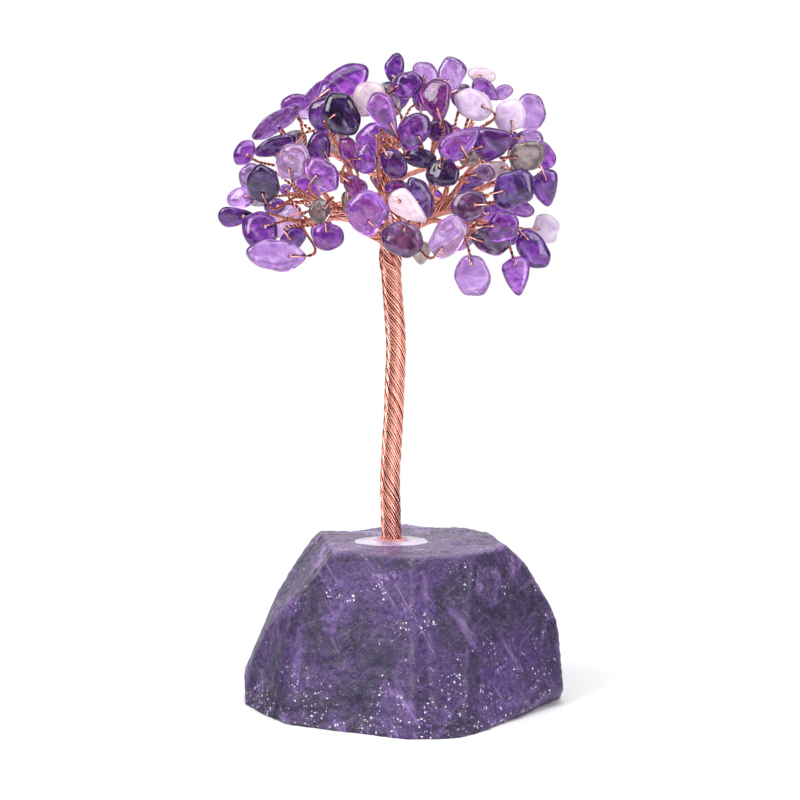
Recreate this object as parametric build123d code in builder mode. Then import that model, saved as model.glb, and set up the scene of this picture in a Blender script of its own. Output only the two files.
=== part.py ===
from build123d import *
import math
import os

import numpy as np

# Gemstone tree: drilled, tumbled amethyst chips on twisted copper wire, set in a rough amethyst.
# Millimetres, +Z up, origin on the table straight under the trunk, +X to the right as seen
# from the front, the front faces -Y.

# Stone base
stone_width = 76.0
stone_depth = 70.0
stone_height = 38.5
socket_width = 6.4
socket_depth = 14.0
glue_patch_width = 18.0
glue_patch_depth = 16.0
glue_rise = 0.9
glue_slope = 68
fit_gap = 0.08
end_gap = 0.25

# Trunk
trunk_height = 67.0
trunk_width = 4.7
trunk_strand_width = 0.76
trunk_strand_count = 12
trunk_turn_height = 27.0
trunk_steps_per_turn = 6
trunk_sway = 1.1

# Limbs
limb_width = 2.5
limb_strand_count = 3
limb_ring_share = 0.27
limb_strand_share = 0.16
limb_turn_length = 13.0
limb_steps_per_turn = 5
sprig_stem_width = 1.3

# Wire and drilled holes
wire_width = 0.32
wire_gap = 0.1
pair_spread = 0.5
hook_rise = 0.55
hook_shoulder_share = 0.6
hook_reach = 1.3
root_step = 1.2
root_first_share = 0.4
root_count = 5
detour_step = 1.1
detour_count = 6
via_count = 8
drill_width = 0.9
drill_rim = 0.25
cut_overrun = 1.0
block_overrun_share = 1.3
stem_bow_share = 0.08

# Crown
crown_width = 78.0
crown_depth = 66.0
crown_height = 53.0
crown_drop = 8.1
chip_length = 8.8
chip_gap = 0.15
settle_step = 0.02
settle_rounds = 400
push_share = 0.3
obstacle_push_share = 0.6
depth_favour = 0.5
dome_middle_share = 0.35
dome_rise_share = 0.68
least_dome_share = 0.03
chip_swing = 14
swing_waves = (9, 23)
chip_tip = 16
tip_waves = (17, -11)
steep_lean = 40
end_hole_share = 0.6
hole_reach_share = 0.42

# Corners of the straight-sided sections and of the runs that they follow
wire_sides = 3
strand_sides = 4
core_sides = 6
sleeve_sides = 12
trunk_points = 25
core_every = 4
limb_steps = 4
parallel_share = 0.04

fork_level = stone_height + trunk_height
crown_floor = fork_level - crown_drop
wire_radius = wire_width / 2
level_hint = np.array([0.3, 1, 0.2])
across_hint = np.array([1, 0, 0.3])

# Directions in which a wire tries to leave its stem, in degrees from the one that faces its chip
leave_angles = (0, 35, -35, 70, -70, 110, -110, 150, -150)

# Outlines of tumbled chips, as shares of half the length and half the width
outline_shares = {
    "oval": [(1, 0), (0.5, 0.9), (-0.5, 0.95), (-1, 0.05), (-0.5, -0.9), (0.55, -0.95)],
    "drop": [(1, 0), (0.2, 0.78), (-0.6, 1), (-1, 0.1), (-0.65, -0.95), (0.25, -0.8)],
    "wedge": [(0.95, 0.4), (0.2, 1), (-0.85, 0.7), (-1, -0.35), (-0.2, -1), (0.8, -0.65)],
    "block": [(1, 0.3), (0.6, 1), (-0.6, 0.9), (-1, -0.2), (-0.6, -1), (0.7, -0.85)],
    "bean": [(1, -0.2), (0.75, 0.7), (-0.1, 1), (-0.9, 0.55), (-0.9, -0.55), (0.1, -1)],
}

# Rings of a chip from its back to its front: level, size and sideways shift
ring_shares = [(-1, 0.6, 0.04), (-0.4, 1, 0), (0.45, 1, 0), (1, 0.58, -0.05)]

# Sprigs: name, limb it grows from, share along that limb, hub (across, up, deep), then its chips.
# Across and deep are shares of half the crown, up a share of its height, deep is negative in front.
# Chip: outline, across, up, skin (1 on the outside of the crown's front, -1 of its back),
# length, width and thickness as shares of the chip length, tilt, lean.
sprig_shares = [
    ("left_low", "left_limb", 0.86, (-0.61, 0.31, -0.2), [
        ("drop", -0.89, 0.34, 0.9, 1.18, 0.72, 0.5, 5, 10),
        ("block", -0.74, 0.28, 0.95, 0.95, 0.92, 0.6, 20, -10),
        ("oval", -0.66, 0.185, 1.0, 1.75, 0.84, 0.6, -5, 15),
        ("bean", -0.69, 0.36, 0.15, 0.82, 0.6, 0.5, 10, 0),
        ("wedge", -0.565, 0.25, 0.2, 0.85, 0.65, 0.5, 40, 10),
    ]),
    ("left_middle", "left_limb", 0.98, (-0.57, 0.42, -0.30), [
        ("oval", -0.71, 0.50, 1.0, 1.2, 0.88, 0.6, -80, 0),
        ("block", -0.83, 0.49, 0.8, 0.75, 0.65, 0.5, 30, 20),
        ("bean", -0.85, 0.42, 0.9, 0.88, 0.68, 0.5, 0, -10),
        ("drop", -0.58, 0.44, 0.3, 0.62, 0.5, 0.42, 15, 0),
    ]),
    ("left_top", "left_limb", 0.98, (-0.56, 0.54, -0.22), [
        ("oval", -0.845, 0.58, 0.8, 0.95, 0.6, 0.5, 60, 10),
        ("oval", -0.60, 0.715, 0.95, 1.65, 0.9, 0.46, 18, 60),
        ("oval", -0.65, 0.635, 1.0, 1.35, 0.72, 0.5, 30, 30),
        ("wedge", -0.55, 0.78, 0.75, 0.9, 0.62, 0.5, 20, 10),
        ("bean", -0.69, 0.73, 0.0, 0.85, 0.6, 0.5, 45, 0),
    ]),
    ("left_inner", "left_limb", 0.72, (-0.43, 0.40, -0.34), [
        ("block", -0.56, 0.575, 1.0, 1.0, 0.95, 0.6, 0, 5),
        ("oval", -0.40, 0.52, 1.0, 1.2, 0.78, 0.6, -50, 0),
        ("block", -0.40, 0.365, 0.95, 0.78, 0.7, 0.5, 45, 0),
        ("wedge", -0.35, 0.255, 0.8, 0.92, 0.82, 0.55, 10, 10),
        ("bean", -0.45, 0.25, 0.2, 0.7, 0.5, 0.45, 90, 0),
    ]),
    ("left_crest", "left_limb", 0.60, (-0.34, 0.66, -0.22), [
        ("oval", -0.28, 0.875, 0.8, 1.8, 0.86, 0.6, 35, 5),
        ("wedge", -0.44, 0.855, 0.1, 1.45, 0.85, 0.38, 42, 65),
        ("block", -0.41, 0.765, 0.85, 1.02, 0.9, 0.6, 20, 0),
        ("oval", -0.26, 0.76, 1.05, 1.3, 0.94, 0.6, -60, 0),
    ]),
    ("left_heart", "left_limb", 0.46, (-0.27, 0.50, -0.36), [
        ("oval", -0.39, 0.62, 0.9, 0.95, 0.72, 0.55, -60, 0),
        ("bean", -0.26, 0.595, 0.85, 1.0, 0.66, 0.5, -75, 10),
        ("drop", -0.11, 0.59, 0.9, 1.12, 0.76, 0.5, 90, 0),
        ("oval", -0.20, 0.48, 0.85, 0.9, 0.6, 0.5, -35, 10),
        ("bean", -0.235, 0.40, 0.35, 0.75, 0.6, 0.45, 90, 0),
    ]),
    ("centre_crest", "centre_limb", 0.98, (-0.03, 0.66, -0.24), [
        ("block", -0.15, 0.82, 1.0, 0.9, 0.88, 0.6, 0, 0),
        ("drop", -0.04, 0.74, 1.1, 1.35, 0.74, 0.55, -60, 0),
        ("wedge", -0.005, 0.83, 0.6, 1.08, 0.72, 0.5, -50, 10),
        ("bean", 0.08, 0.87, 0.8, 0.96, 0.84, 0.55, 20, 0),
    ]),
    ("centre_heart", "centre_limb", 0.86, (0.07, 0.58, -0.28), [
        ("block", 0.11, 0.68, 0.9, 1.06, 0.88, 0.55, 30, 0),
        ("oval", 0.02, 0.57, 0.9, 1.05, 0.76, 0.5, -55, 10),
        ("wedge", 0.17, 0.57, 0.75, 0.95, 0.56, 0.48, -10, 0),
        ("bean", 0.17, 0.84, 0.15, 0.75, 0.6, 0.45, 90, 0),
    ]),
    ("centre_low", "centre_limb", 0.50, (-0.02, 0.42, -0.36), [
        ("block", -0.12, 0.37, 1.0, 1.18, 1.1, 0.62, 45, 0),
        ("bean", 0.035, 0.455, 0.6, 0.8, 0.66, 0.45, 0, 0),
        ("drop", 0.10, 0.36, 1.0, 1.3, 0.7, 0.5, -35, 15),
        ("oval", 0.18, 0.42, 0.85, 1.3, 0.76, 0.55, -60, 0),
    ]),
    ("centre_hanging", "right_limb", 0.30, (0.13, 0.31, -0.30), [
        ("oval", 0.08, 0.265, 0.9, 1.18, 0.88, 0.6, -25, 0),
        ("drop", 0.17, 0.165, 0.3, 0.8, 0.68, 0.5, -90, 0),
        ("wedge", 0.29, 0.27, 1.05, 1.3, 0.95, 0.6, 60, 0),
    ]),
    ("right_crest_inner", "right_limb", 0.66, (0.27, 0.69, -0.20), [
        ("oval", 0.18, 0.93, 0.05, 0.85, 0.75, 0.5, 0, 0),
        ("block", 0.35, 0.93, 0.6, 1.0, 0.84, 0.55, 50, 0),
        ("drop", 0.265, 0.81, 0.95, 1.3, 0.88, 0.55, -75, 0),
        ("bean", 0.42, 0.875, 0.0, 0.7, 0.6, 0.45, 30, 0),
        ("bean", 0.28, 0.69, 0.35, 0.9, 0.7, 0.48, 0, 0),
    ]),
    ("right_crest_outer", "right_limb", 0.80, (0.46, 0.70, -0.20), [
        ("oval", 0.47, 0.80, 0.95, 1.15, 0.84, 0.55, -20, 0),
        ("drop", 0.55, 0.86, 0.6, 1.08, 0.68, 0.5, -35, 10),
        ("wedge", 0.53, 0.91, 0.05, 0.9, 0.6, 0.45, -20, 0),
        ("bean", 0.65, 0.86, 0.0, 0.8, 0.65, 0.5, 10, 0),
    ]),
    ("right_shoulder", "right_limb", 0.90, (0.62, 0.62, -0.22), [
        ("block", 0.68, 0.755, 0.9, 1.0, 0.94, 0.58, 10, 0),
        ("oval", 0.80, 0.75, 0.5, 1.12, 0.82, 0.55, -70, 15),
        ("bean", 0.80, 0.655, 0.7, 0.8, 0.58, 0.48, 0, 0),
        ("drop", 0.59, 0.65, 1.0, 1.38, 1.05, 0.6, 20, 0),
        ("wedge", 0.71, 0.67, 0.1, 0.85, 0.7, 0.45, 80, 0),
    ]),
    ("right_heart", "right_limb", 0.52, (0.36, 0.52, -0.32), [
        ("drop", 0.39, 0.63, 1.0, 1.48, 0.84, 0.55, 35, 0),
        ("oval", 0.485, 0.515, 0.95, 0.95, 0.62, 0.48, 8, 0),
        ("bean", 0.45, 0.575, 0.55, 0.7, 0.6, 0.45, 0, 0),
        ("block", 0.28, 0.50, 0.85, 0.95, 0.78, 0.55, 0, 0),
    ]),
    ("right_outer", "right_limb", 0.98, (0.72, 0.50, -0.16), [
        ("oval", 0.885, 0.59, 0.6, 0.95, 0.68, 0.5, -50, 0),
        ("block", 0.76, 0.57, 0.95, 1.2, 0.84, 0.55, 5, 0),
        ("drop", 0.895, 0.44, 0.8, 1.2, 0.88, 0.55, -75, 0),
        ("bean", 0.62, 0.535, 0.6, 0.8, 0.6, 0.45, 0, 0),
    ]),
    ("right_middle", "right_limb", 0.74, (0.53, 0.40, -0.30), [
        ("block", 0.68, 0.455, 0.95, 1.35, 1.08, 0.6, 15, 0),
        ("oval", 0.72, 0.375, 0.8, 1.0, 0.62, 0.48, -10, 10),
        ("wedge", 0.44, 0.39, 0.95, 1.0, 0.9, 0.55, 0, 0),
        ("block", 0.60, 0.31, 0.95, 1.0, 0.84, 0.55, 0, 0),
    ]),
    ("right_low", "right_limb", 0.62, (0.47, 0.27, -0.26), [
        ("oval", 0.58, 0.225, 0.85, 1.12, 0.78, 0.55, -15, 0),
        ("bean", 0.46, 0.315, 0.75, 0.7, 0.62, 0.48, 0, 0),
        ("drop", 0.42, 0.22, 0.35, 0.88, 0.55, 0.45, 0, 0),
        ("wedge", 0.48, 0.10, 0.9, 1.2, 1.0, 0.55, -80, 0),
    ]),
    ("right_tip", "right_limb", 0.90, (0.68, 0.27, -0.20), [
        ("oval", 0.81, 0.19, 0.95, 1.4, 0.78, 0.55, -50, 0),
        ("block", 0.90, 0.27, 0.5, 0.88, 0.84, 0.55, 0, 0),
        ("drop", 0.685, 0.115, 1.0, 1.15, 0.84, 0.55, -80, 0),
        ("bean", 0.71, 0.235, 0.0, 0.75, 0.5, 0.42, 90, 0),
    ]),
    ("back_left_low", "back_limb", 0.72, (-0.46, 0.34, 0.36), [
        ("block", -0.66, 0.28, -0.9, 1.2, 0.9, 0.58, 20, 0),
        ("oval", -0.42, 0.22, -0.95, 1.05, 0.8, 0.55, -30, 0),
        ("drop", -0.78, 0.42, -0.8, 1.1, 0.75, 0.5, 60, 0),
        ("bean", -0.52, 0.43, -1.0, 1.0, 0.85, 0.55, -10, 0),
    ]),
    ("back_left_top", "back_limb", 0.86, (-0.38, 0.60, 0.26), [
        ("oval", -0.62, 0.62, -0.85, 1.25, 0.85, 0.55, 40, 0),
        ("block", -0.38, 0.66, -1.0, 1.1, 0.95, 0.6, -20, 0),
        ("wedge", -0.24, 0.86, -0.4, 1.15, 0.8, 0.5, 30, 0),
        ("drop", -0.50, 0.80, -0.25, 1.0, 0.7, 0.5, 50, 0),
    ]),
    ("back_centre_low", "back_limb", 0.60, (-0.02, 0.34, 0.42), [
        ("drop", -0.20, 0.30, -1.0, 1.3, 0.85, 0.55, -50, 0),
        ("block", 0.02, 0.24, -0.95, 1.0, 0.9, 0.55, 10, 0),
        ("oval", 0.20, 0.34, -1.0, 1.2, 0.8, 0.55, 60, 0),
        ("bean", -0.02, 0.46, -1.0, 1.05, 0.85, 0.55, -15, 0),
    ]),
    ("back_centre_top", "back_limb", 0.98, (0.02, 0.64, 0.24), [
        ("block", -0.12, 0.64, -1.0, 1.1, 0.9, 0.58, 40, 0),
        ("drop", 0.12, 0.62, -1.0, 1.35, 0.8, 0.55, -70, 0),
        ("oval", 0.00, 0.84, -0.65, 1.15, 0.85, 0.55, 0, 0),
        ("wedge", 0.22, 0.83, -0.5, 1.0, 0.8, 0.5, 30, 0),
        ("bean", 0.04, 0.95, 0.0, 0.95, 0.7, 0.5, 80, 0),
    ]),
    ("back_right_low", "back_limb", 0.74, (0.46, 0.34, 0.34), [
        ("oval", 0.42, 0.22, -0.9, 1.15, 0.85, 0.55, 30, 0),
        ("block", 0.64, 0.30, -0.9, 1.1, 0.85, 0.55, -20, 0),
        ("drop", 0.50, 0.44, -1.0, 1.25, 0.85, 0.55, 60, 0),
        ("bean", 0.78, 0.46, -0.7, 1.0, 0.75, 0.5, 0, 0),
    ]),
    ("back_right_top", "back_limb", 0.88, (0.42, 0.62, 0.24), [
        ("block", 0.36, 0.64, -1.0, 1.15, 0.9, 0.58, -30, 0),
        ("oval", 0.60, 0.62, -0.9, 1.2, 0.85, 0.55, 50, 0),
        ("drop", 0.44, 0.82, -0.45, 1.1, 0.8, 0.5, -20, 0),
        ("wedge", 0.70, 0.76, -0.25, 0.95, 0.75, 0.5, 20, 0),
    ]),
]

# Limbs: points (across, up, deep) from the fork, with side branches that leave at a share of it
limb_shares = {
    "left_limb": [(-0.045, 0.215, -0.06), (-0.12, 0.25, -0.14), (-0.24, 0.32, -0.22), (-0.37, 0.36, -0.26)],
    "centre_limb": [(-0.035, 0.225, 0.03), (-0.035, 0.3, -0.03), (-0.05, 0.42, -0.16), (-0.03, 0.53, -0.2)],
    "right_limb": [(0.05, 0.215, -0.055), (0.13, 0.27, -0.1), (0.27, 0.35, -0.16), (0.42, 0.4, -0.18)],
    "back_limb": [(0.035, 0.22, 0.07), (0.03, 0.3, 0.16), (0, 0.42, 0.22), (0.01, 0.52, 0.2)],
}

# Facets of the cleaved stone: direction round it, lean from upright, reach, level of that reach
facet_shares = [
    (180, -3, 0.925, 0.25), (188, 38, 0.845, 0.43), (184, 24, 0.66, 0.73), (208, 14, 0.85, 0),
    (245, 20, 0.88, 0), (271, 22, 1.05, 0), (290, 22, 1.07, 0), (322, 13, 0.92, 0),
    (0, 3, 1.055, 0.1), (5, 31, 0.985, 0.6), (10, 46, 0.75, 0.92), (38, 14, 0.98, 0.1),
    (75, 16, 0.98, 0.1), (108, 22, 0.97, 0.2), (148, 16, 0.93, 0.15), (165, 34, 0.86, 0.6),
    (240, -45, 0.86, 0), (330, -45, 0.87, 0), (95, -50, 0.92, 0),
]

# Bend of the trunk to the right on its way up: share of its height, share of the sway
bend_shares = [(0, 0), (0.22, -0.35), (0.46, 0.5), (0.7, 1), (0.86, 0.25), (1, -0.35)]

# How far the rim of the pale glue patch reaches, in even steps round it
glue_rim_shares = [1, 0.93, 1, 0.9, 0.98, 1, 0.92, 0.97, 1, 0.94]


def unit(vector):
    return vector / np.linalg.norm(vector)


def square_to(direction, hint):
    """The part of hint at right angles to direction, one long."""
    return unit(hint - direction * np.dot(hint, direction))


def crown_point(across, up, deep):
    return np.array([across * crown_width / 2, deep * crown_depth / 2, crown_floor + up * crown_height])


def dense(points, spacing):
    """Points along a polyline, one every spacing or closer."""
    runs = [np.array(points[0])[None, :]]
    for start, end in zip(points, points[1:]):
        count = max(1, math.ceil(np.linalg.norm(end - start) / spacing))
        steps = np.arange(1, count + 1)[:, None] / count
        runs.append(start + (end - start) * steps)
    return np.vstack(runs)


def bar(points, radius, sides, turn=0.0):
    """A straight-sided bar along a polyline, mitred at each of its corners."""
    direction = unit(points[1] - points[0])
    hint = level_hint if abs(direction[1]) < 0.8 else across_hint
    end = Plane(origin=tuple(points[0]), x_dir=tuple(square_to(direction, hint)), z_dir=tuple(direction))
    with BuildPart() as piece:
        with BuildLine():
            Polyline(*[tuple(point) for point in points])
        with BuildSketch(end):
            RegularPolygon(radius=radius, side_count=sides, rotation=turn)
        sweep(transition=Transition.RIGHT)
    return piece.part


class Chip:
    """One tumbled chip, drilled near the end that faces its sprig's hub."""

    def __init__(self, row, hub):
        name, across, up, skin, length, width, thickness, tilt, lean = row
        dome = 1 - across**2 - ((up - dome_middle_share) / dome_rise_share) ** 2
        deep = -skin * math.sqrt(max(dome, least_dome_share))
        self.centre = crown_point(across, up, deep)
        self.hub = hub
        self.half = np.array([length, width, thickness]) * chip_length / 2
        swing = chip_swing * math.sin(swing_waves[0] * across + swing_waves[1] * up)
        tip = chip_tip * math.sin(tip_waves[0] * across + tip_waves[1] * up) if abs(lean) < steep_lean else 0
        self.axes = turned_axes(tilt, lean + tip, swing)
        flat = np.array(outline_shares[name])
        self.rings = [self.ring(flat, *shares) for shares in ring_shares]
        self.find_hole(flat)
        self.normals = self.face_normals()
        solid = np.vstack(self.rings)
        self.faces = (self.normals @ solid.T).max(1)
        hook = [p + s * self.axes[2] * wire_radius for p in self.hook[1:-1] for s in (-1, 1)]
        self.points = np.vstack([solid, self.hook, hook])
        self.reach = np.linalg.norm(self.points, axis=1).max()
        self.support = (self.normals @ self.points.T).max(1)

    def ring(self, flat, level, size, shift):
        x = (flat[:, 0] * size + shift) * self.half[0]
        y = flat[:, 1] * size * self.half[1]
        z = np.full(len(flat), level * self.half[2])
        return np.column_stack([x, y, z]) @ self.axes

    def face_normals(self):
        normals = [self.axes[2], -self.axes[2]]
        for low, high in zip(self.rings, self.rings[1:]):
            for k in range(len(low)):
                after = (k + 1) % len(low)
                normal = unit(np.cross(low[after] - low[k], high[k] - low[k]))
                normals.append(normal if np.dot(normal, low[k]) > 0 else -normal)
        return np.array(normals)

    def find_hole(self, flat):
        """Place of the hole, and the wire's way round the near edge and through it."""
        towards = self.axes @ (self.hub - self.centre)
        along = 0 if abs(towards[0]) > end_hole_share * abs(towards[1]) else 1
        near = self.axes[along] * (1 if towards[along] > 0 else -1)
        level, size, shift = ring_shares[-1]
        rim = self.ring(flat, 0, size, shift)
        middle = rim.mean(0)
        room = math.inf
        for a, b in zip(rim, np.roll(rim, -1, axis=0)):
            out = np.cross(b - a, self.axes[2])
            out = unit(out) * (1 if np.dot(out, a - middle) > 0 else -1)
            facing = np.dot(out, near)
            if facing > parallel_share:
                room = min(room, (np.dot(out, a - middle) - drill_width / 2 - drill_rim) / facing)
        edge = (self.ring(flat, 0, 1, 0) @ near).max()
        self.hole = middle + near * max(0, min(room, hole_reach_share * edge))
        at_hole = np.dot(self.hole, near)
        cap_edge = (rim @ near).max() - at_hole
        top = self.half[2] + wire_radius
        w = self.axes[2]
        shoulder = top + hook_rise * hook_shoulder_share
        bend = cap_edge + wire_gap
        rim_clear = ring_shares[2][0] * self.half[2] + wire_radius + wire_gap
        fall = (shoulder - pair_spread / 2) / (shoulder - rim_clear)
        reach = max(edge - at_hole + hook_reach, bend + fall * (edge - at_hole - bend))
        above = self.hole + w * (top + hook_rise)
        bent = self.hole + near * bend + w * shoulder
        below = above - 2 * w * (top + hook_rise)
        bent_below = bent - 2 * w * shoulder
        join = self.hole + near * reach
        spread = w * pair_spread / 2
        self.hook = np.array([join + spread, bent, above, below, bent_below, join - spread])

    def solid(self):
        """The outline extruded, its rims ground off on both faces, and the hole drilled."""
        middle = Plane(origin=tuple(self.centre), x_dir=tuple(self.axes[0]), z_dir=tuple(self.axes[2]))
        with BuildPart() as chip:
            with BuildSketch(middle):
                Polygon(*[tuple(self.axes[:2] @ corner) for corner in self.rings[1]], align=None)
            extrude(amount=self.half[2], both=True)
            for normal, reach in zip(self.normals, self.faces):
                if parallel_share < abs(np.dot(normal, self.axes[2])) < 1 - parallel_share:
                    ground = Plane(origin=tuple(self.centre + normal * reach), z_dir=tuple(normal))
                    split(bisect_by=ground, keep=Keep.BOTTOM)
            mouth = Plane(
                origin=tuple(self.centre + self.hole),
                x_dir=tuple(self.axes[0]),
                z_dir=tuple(self.axes[2]),
            )
            with BuildSketch(mouth):
                RegularPolygon(radius=drill_width / 2, side_count=4)
            extrude(amount=self.half[2] + cut_overrun, both=True, mode=Mode.SUBTRACT)
        return chip.part


def turned_axes(tilt, lean, swing):
    """Long, wide and thick directions: tilt in the front view, lean about the length, swing."""
    t, n, s = (math.radians(a) for a in (tilt, lean, swing))
    u = np.array([math.cos(t), 0, math.sin(t)])
    v = np.array([-math.sin(t), 0, math.cos(t)])
    w = np.cross(u, v)
    v, w = v * math.cos(n) + w * math.sin(n), w * math.cos(n) - v * math.sin(n)
    u, w = u * math.cos(s) + w * math.sin(s), w * math.cos(s) - u * math.sin(s)
    return np.array([u, v, w])


def settle(chips, obstacles, clearance):
    """Ease the chips apart until none touches another, or a stem, mostly towards front and back."""
    pairs = []
    for i, a in enumerate(chips):
        for j in range(i + 1, len(chips)):
            b = chips[j]
            if np.linalg.norm(a.centre - b.centre) < a.reach + b.reach + chip_length / 2:
                axes = np.vstack([a.normals, -b.normals])
                spare = np.concatenate([
                    (a.normals @ b.points.T).min(1) - a.support,
                    (b.normals @ a.points.T).min(1) - b.support,
                ])
                pairs.append((i, j, axes, spare))
    for _ in range(settle_rounds):
        shift = np.zeros((len(chips), 3))
        worst = clearance
        for i, j, axes, spare in pairs:
            gaps = axes @ (chips[j].centre - chips[i].centre) + spare
            gap = gaps.max()
            if gap >= clearance:
                continue
            worst = min(worst, gap)
            pick = np.argmax(gaps + depth_favour * np.abs(axes[:, 1]))
            push = axes[pick] * (clearance - gaps[pick] + settle_step) * push_share
            shift[i] -= push
            shift[j] += push
        for i, chip in enumerate(chips):
            offsets = obstacles[:, :3] - chip.centre
            gaps = (chip.normals @ offsets.T) - chip.support[:, None] - obstacles[:, 3]
            best = gaps.max(0)
            hit = np.argmin(best)
            if best[hit] < clearance:
                worst = min(worst, best[hit])
                axis = chip.normals[np.argmax(gaps[:, hit])]
                shift[i] -= axis * (clearance - best[hit] + settle_step) * obstacle_push_share
        if worst >= clearance:
            break
        for chip, move in zip(chips, shift):
            chip.centre = chip.centre + move


def smooth(points, count):
    """A smooth run through the points, count steps from each point to the next."""
    ends = [2 * points[0] - points[1], *points, 2 * points[-1] - points[-2]]
    run = [points[0]]
    for a, b, c, d in zip(ends, ends[1:], ends[2:], ends[3:]):
        for step in range(1, count + 1):
            t = step / count
            bend = 2 * a - 5 * b + 4 * c - d
            twist = 3 * b - a - 3 * c + d
            run.append(0.5 * (2 * b + (c - a) * t + bend * t**2 + twist * t**3))
    return run


def walk(points, share):
    """Place and direction at a share of a polyline's length."""
    lengths = np.array([np.linalg.norm(b - a) for a, b in zip(points, points[1:])])
    target = share * lengths.sum()
    for k, length in enumerate(lengths):
        if target <= length or k == len(lengths) - 1:
            direction = (points[k + 1] - points[k]) / length
            return points[k] + direction * target, direction
        target -= length


def strands(path, ring_radius, strand_radius, count, turns, steps, sides, hand, start_angle=0.0):
    """Strands laid round a path: each is a mitred bar with a corner at every step."""
    total = max(3, round(turns * steps))
    pieces = []
    places = [walk(path, k / total) for k in range(total + 1)]
    hint = level_hint if abs(places[0][1][1]) < 0.8 else across_hint
    for strand in range(count):
        corners = []
        for k, (place, direction) in enumerate(places):
            side = square_to(direction, hint)
            other = np.cross(direction, side)
            angle = start_angle + 2 * math.pi * (strand / count + hand * turns * k / total)
            corners.append(place + ring_radius * (math.cos(angle) * side + math.sin(angle) * other))
        pieces.append(bar(corners, strand_radius, sides, turn=180 / sides))
    return pieces


class Stem:
    """The twisted stem of a sprig, from the side of its limb to its hub."""

    def __init__(self, limb_path, share, hub):
        place, direction = walk(limb_path, share)
        side = square_to(direction, hub - place)
        limb_reach = limb_width * (limb_ring_share + limb_strand_share)
        start = place + side * (limb_reach + sprig_stem_width / 2)
        bend = (start + hub) / 2 + side * np.linalg.norm(hub - start) * stem_bow_share
        self.points = [start, bend, hub]
        self.direction = unit(hub - bend)
        self.radius = sprig_stem_width / 2


class Clearance:
    """How far a wire's points lie from every chip, stem, limb and wire already in place."""

    def __init__(self, chips, rods):
        self.normals = np.vstack([chip.normals for chip in chips])
        self.offsets = np.concatenate([chip.faces + chip.normals @ chip.centre for chip in chips])
        counts = [len(chip.normals) for chip in chips]
        self.starts = np.concatenate([[0], np.cumsum(counts)[:-1]])
        self.rods = rods
        hooks = [dense([chip.centre + p for p in chip.hook], wire_width) for chip in chips]
        self.wires = np.vstack(hooks)
        self.owners = np.concatenate([np.full(len(hook), k) for k, hook in enumerate(hooks)])

    def to_chips(self, points):
        gaps = self.normals @ points.T - self.offsets[:, None]
        return np.maximum.reduceat(gaps, self.starts, axis=0).min() - wire_radius

    def to_rods(self, points):
        gaps = np.linalg.norm(points[:, None] - self.rods[None, :, :3], axis=2) - self.rods[None, :, 3]
        return gaps.min() - wire_radius

    def to_wires(self, points, owner):
        low = points.min(0) - chip_length / 2
        high = points.max(0) + chip_length / 2
        near = (self.owners != owner) & (self.wires > low).all(1) & (self.wires < high).all(1)
        if not near.any():
            return chip_length
        gaps = np.linalg.norm(points[:, None] - self.wires[near][None], axis=2)
        return gaps.min() - wire_width

    def keep(self, points, owner):
        self.wires = np.vstack([self.wires, points])
        self.owners = np.concatenate([self.owners, np.full(len(points), owner)])


def route_pair(chip, index, stem, order, clearance):
    """Corners of one wire: along the stem, out to the chip, through its hole and back again."""
    join = chip.centre + (chip.hook[0] + chip.hook[-1]) / 2
    thick = chip.axes[2]
    best = (-math.inf, None, None)
    least_gap = wire_gap / 2
    along = stem.direction
    for detour in [step * detour_step for step in range(detour_count)]:
        for station in range(root_count):
            leave = stem.points[-1] - along * root_step * (root_first_share + (order + station) % root_count)
            for angle in leave_angles:
                side = square_to(along, join - stem.points[-1])
                across = np.cross(along, side)
                a = math.radians(angle)
                out = side * math.cos(a) + across * math.sin(a)
                cross = np.cross(along, out)
                seat = out * (stem.radius + wire_radius + wire_gap)
                hand = 1 if np.dot(cross, thick) >= 0 else -1
                spread = cross * hand * pair_spread / 2
                vias = [None]
                if detour:
                    run = unit(join - leave)
                    n1 = square_to(run, level_hint)
                    n2 = np.cross(run, n1)
                    vias = [
                        (leave + seat + join) / 2 + detour * (math.cos(b) * n1 + math.sin(b) * n2)
                        for b in [2 * math.pi * k / via_count for k in range(via_count)]
                    ]
                for via in vias:
                    legs = []
                    for sign in (1, -1):
                        leg = [leave + seat + sign * spread]
                        if via is not None:
                            turn = spread + thick * pair_spread / 2
                            turn = turn / np.linalg.norm(turn) * pair_spread / 2
                            leg.append(via + sign * turn)
                        leg.append(join + sign * thick * pair_spread / 2)
                        legs.append(leg)
                    points = np.vstack([dense(leg, wire_width) for leg in legs])
                    score = clearance.to_chips(points)
                    if score > best[0]:
                        score = min(score, clearance.to_rods(points))
                    if score > best[0]:
                        score = min(score, clearance.to_wires(points, index))
                    if score > best[0]:
                        best = (score, legs, points)
                if best[0] >= least_gap:
                    break
            if best[0] >= least_gap:
                break
        if best[0] >= least_gap:
            break
    score, legs, points = best
    clearance.keep(points, index)
    hook = [chip.centre + p for p in chip.hook]
    return [*legs[0][:-1], *hook, *legs[1][:-1][::-1]]


def finish(piece, label):
    piece.part.label = label
    export_step(piece.part, f"parts/{label}.step")


os.makedirs("parts", exist_ok=True)

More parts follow.
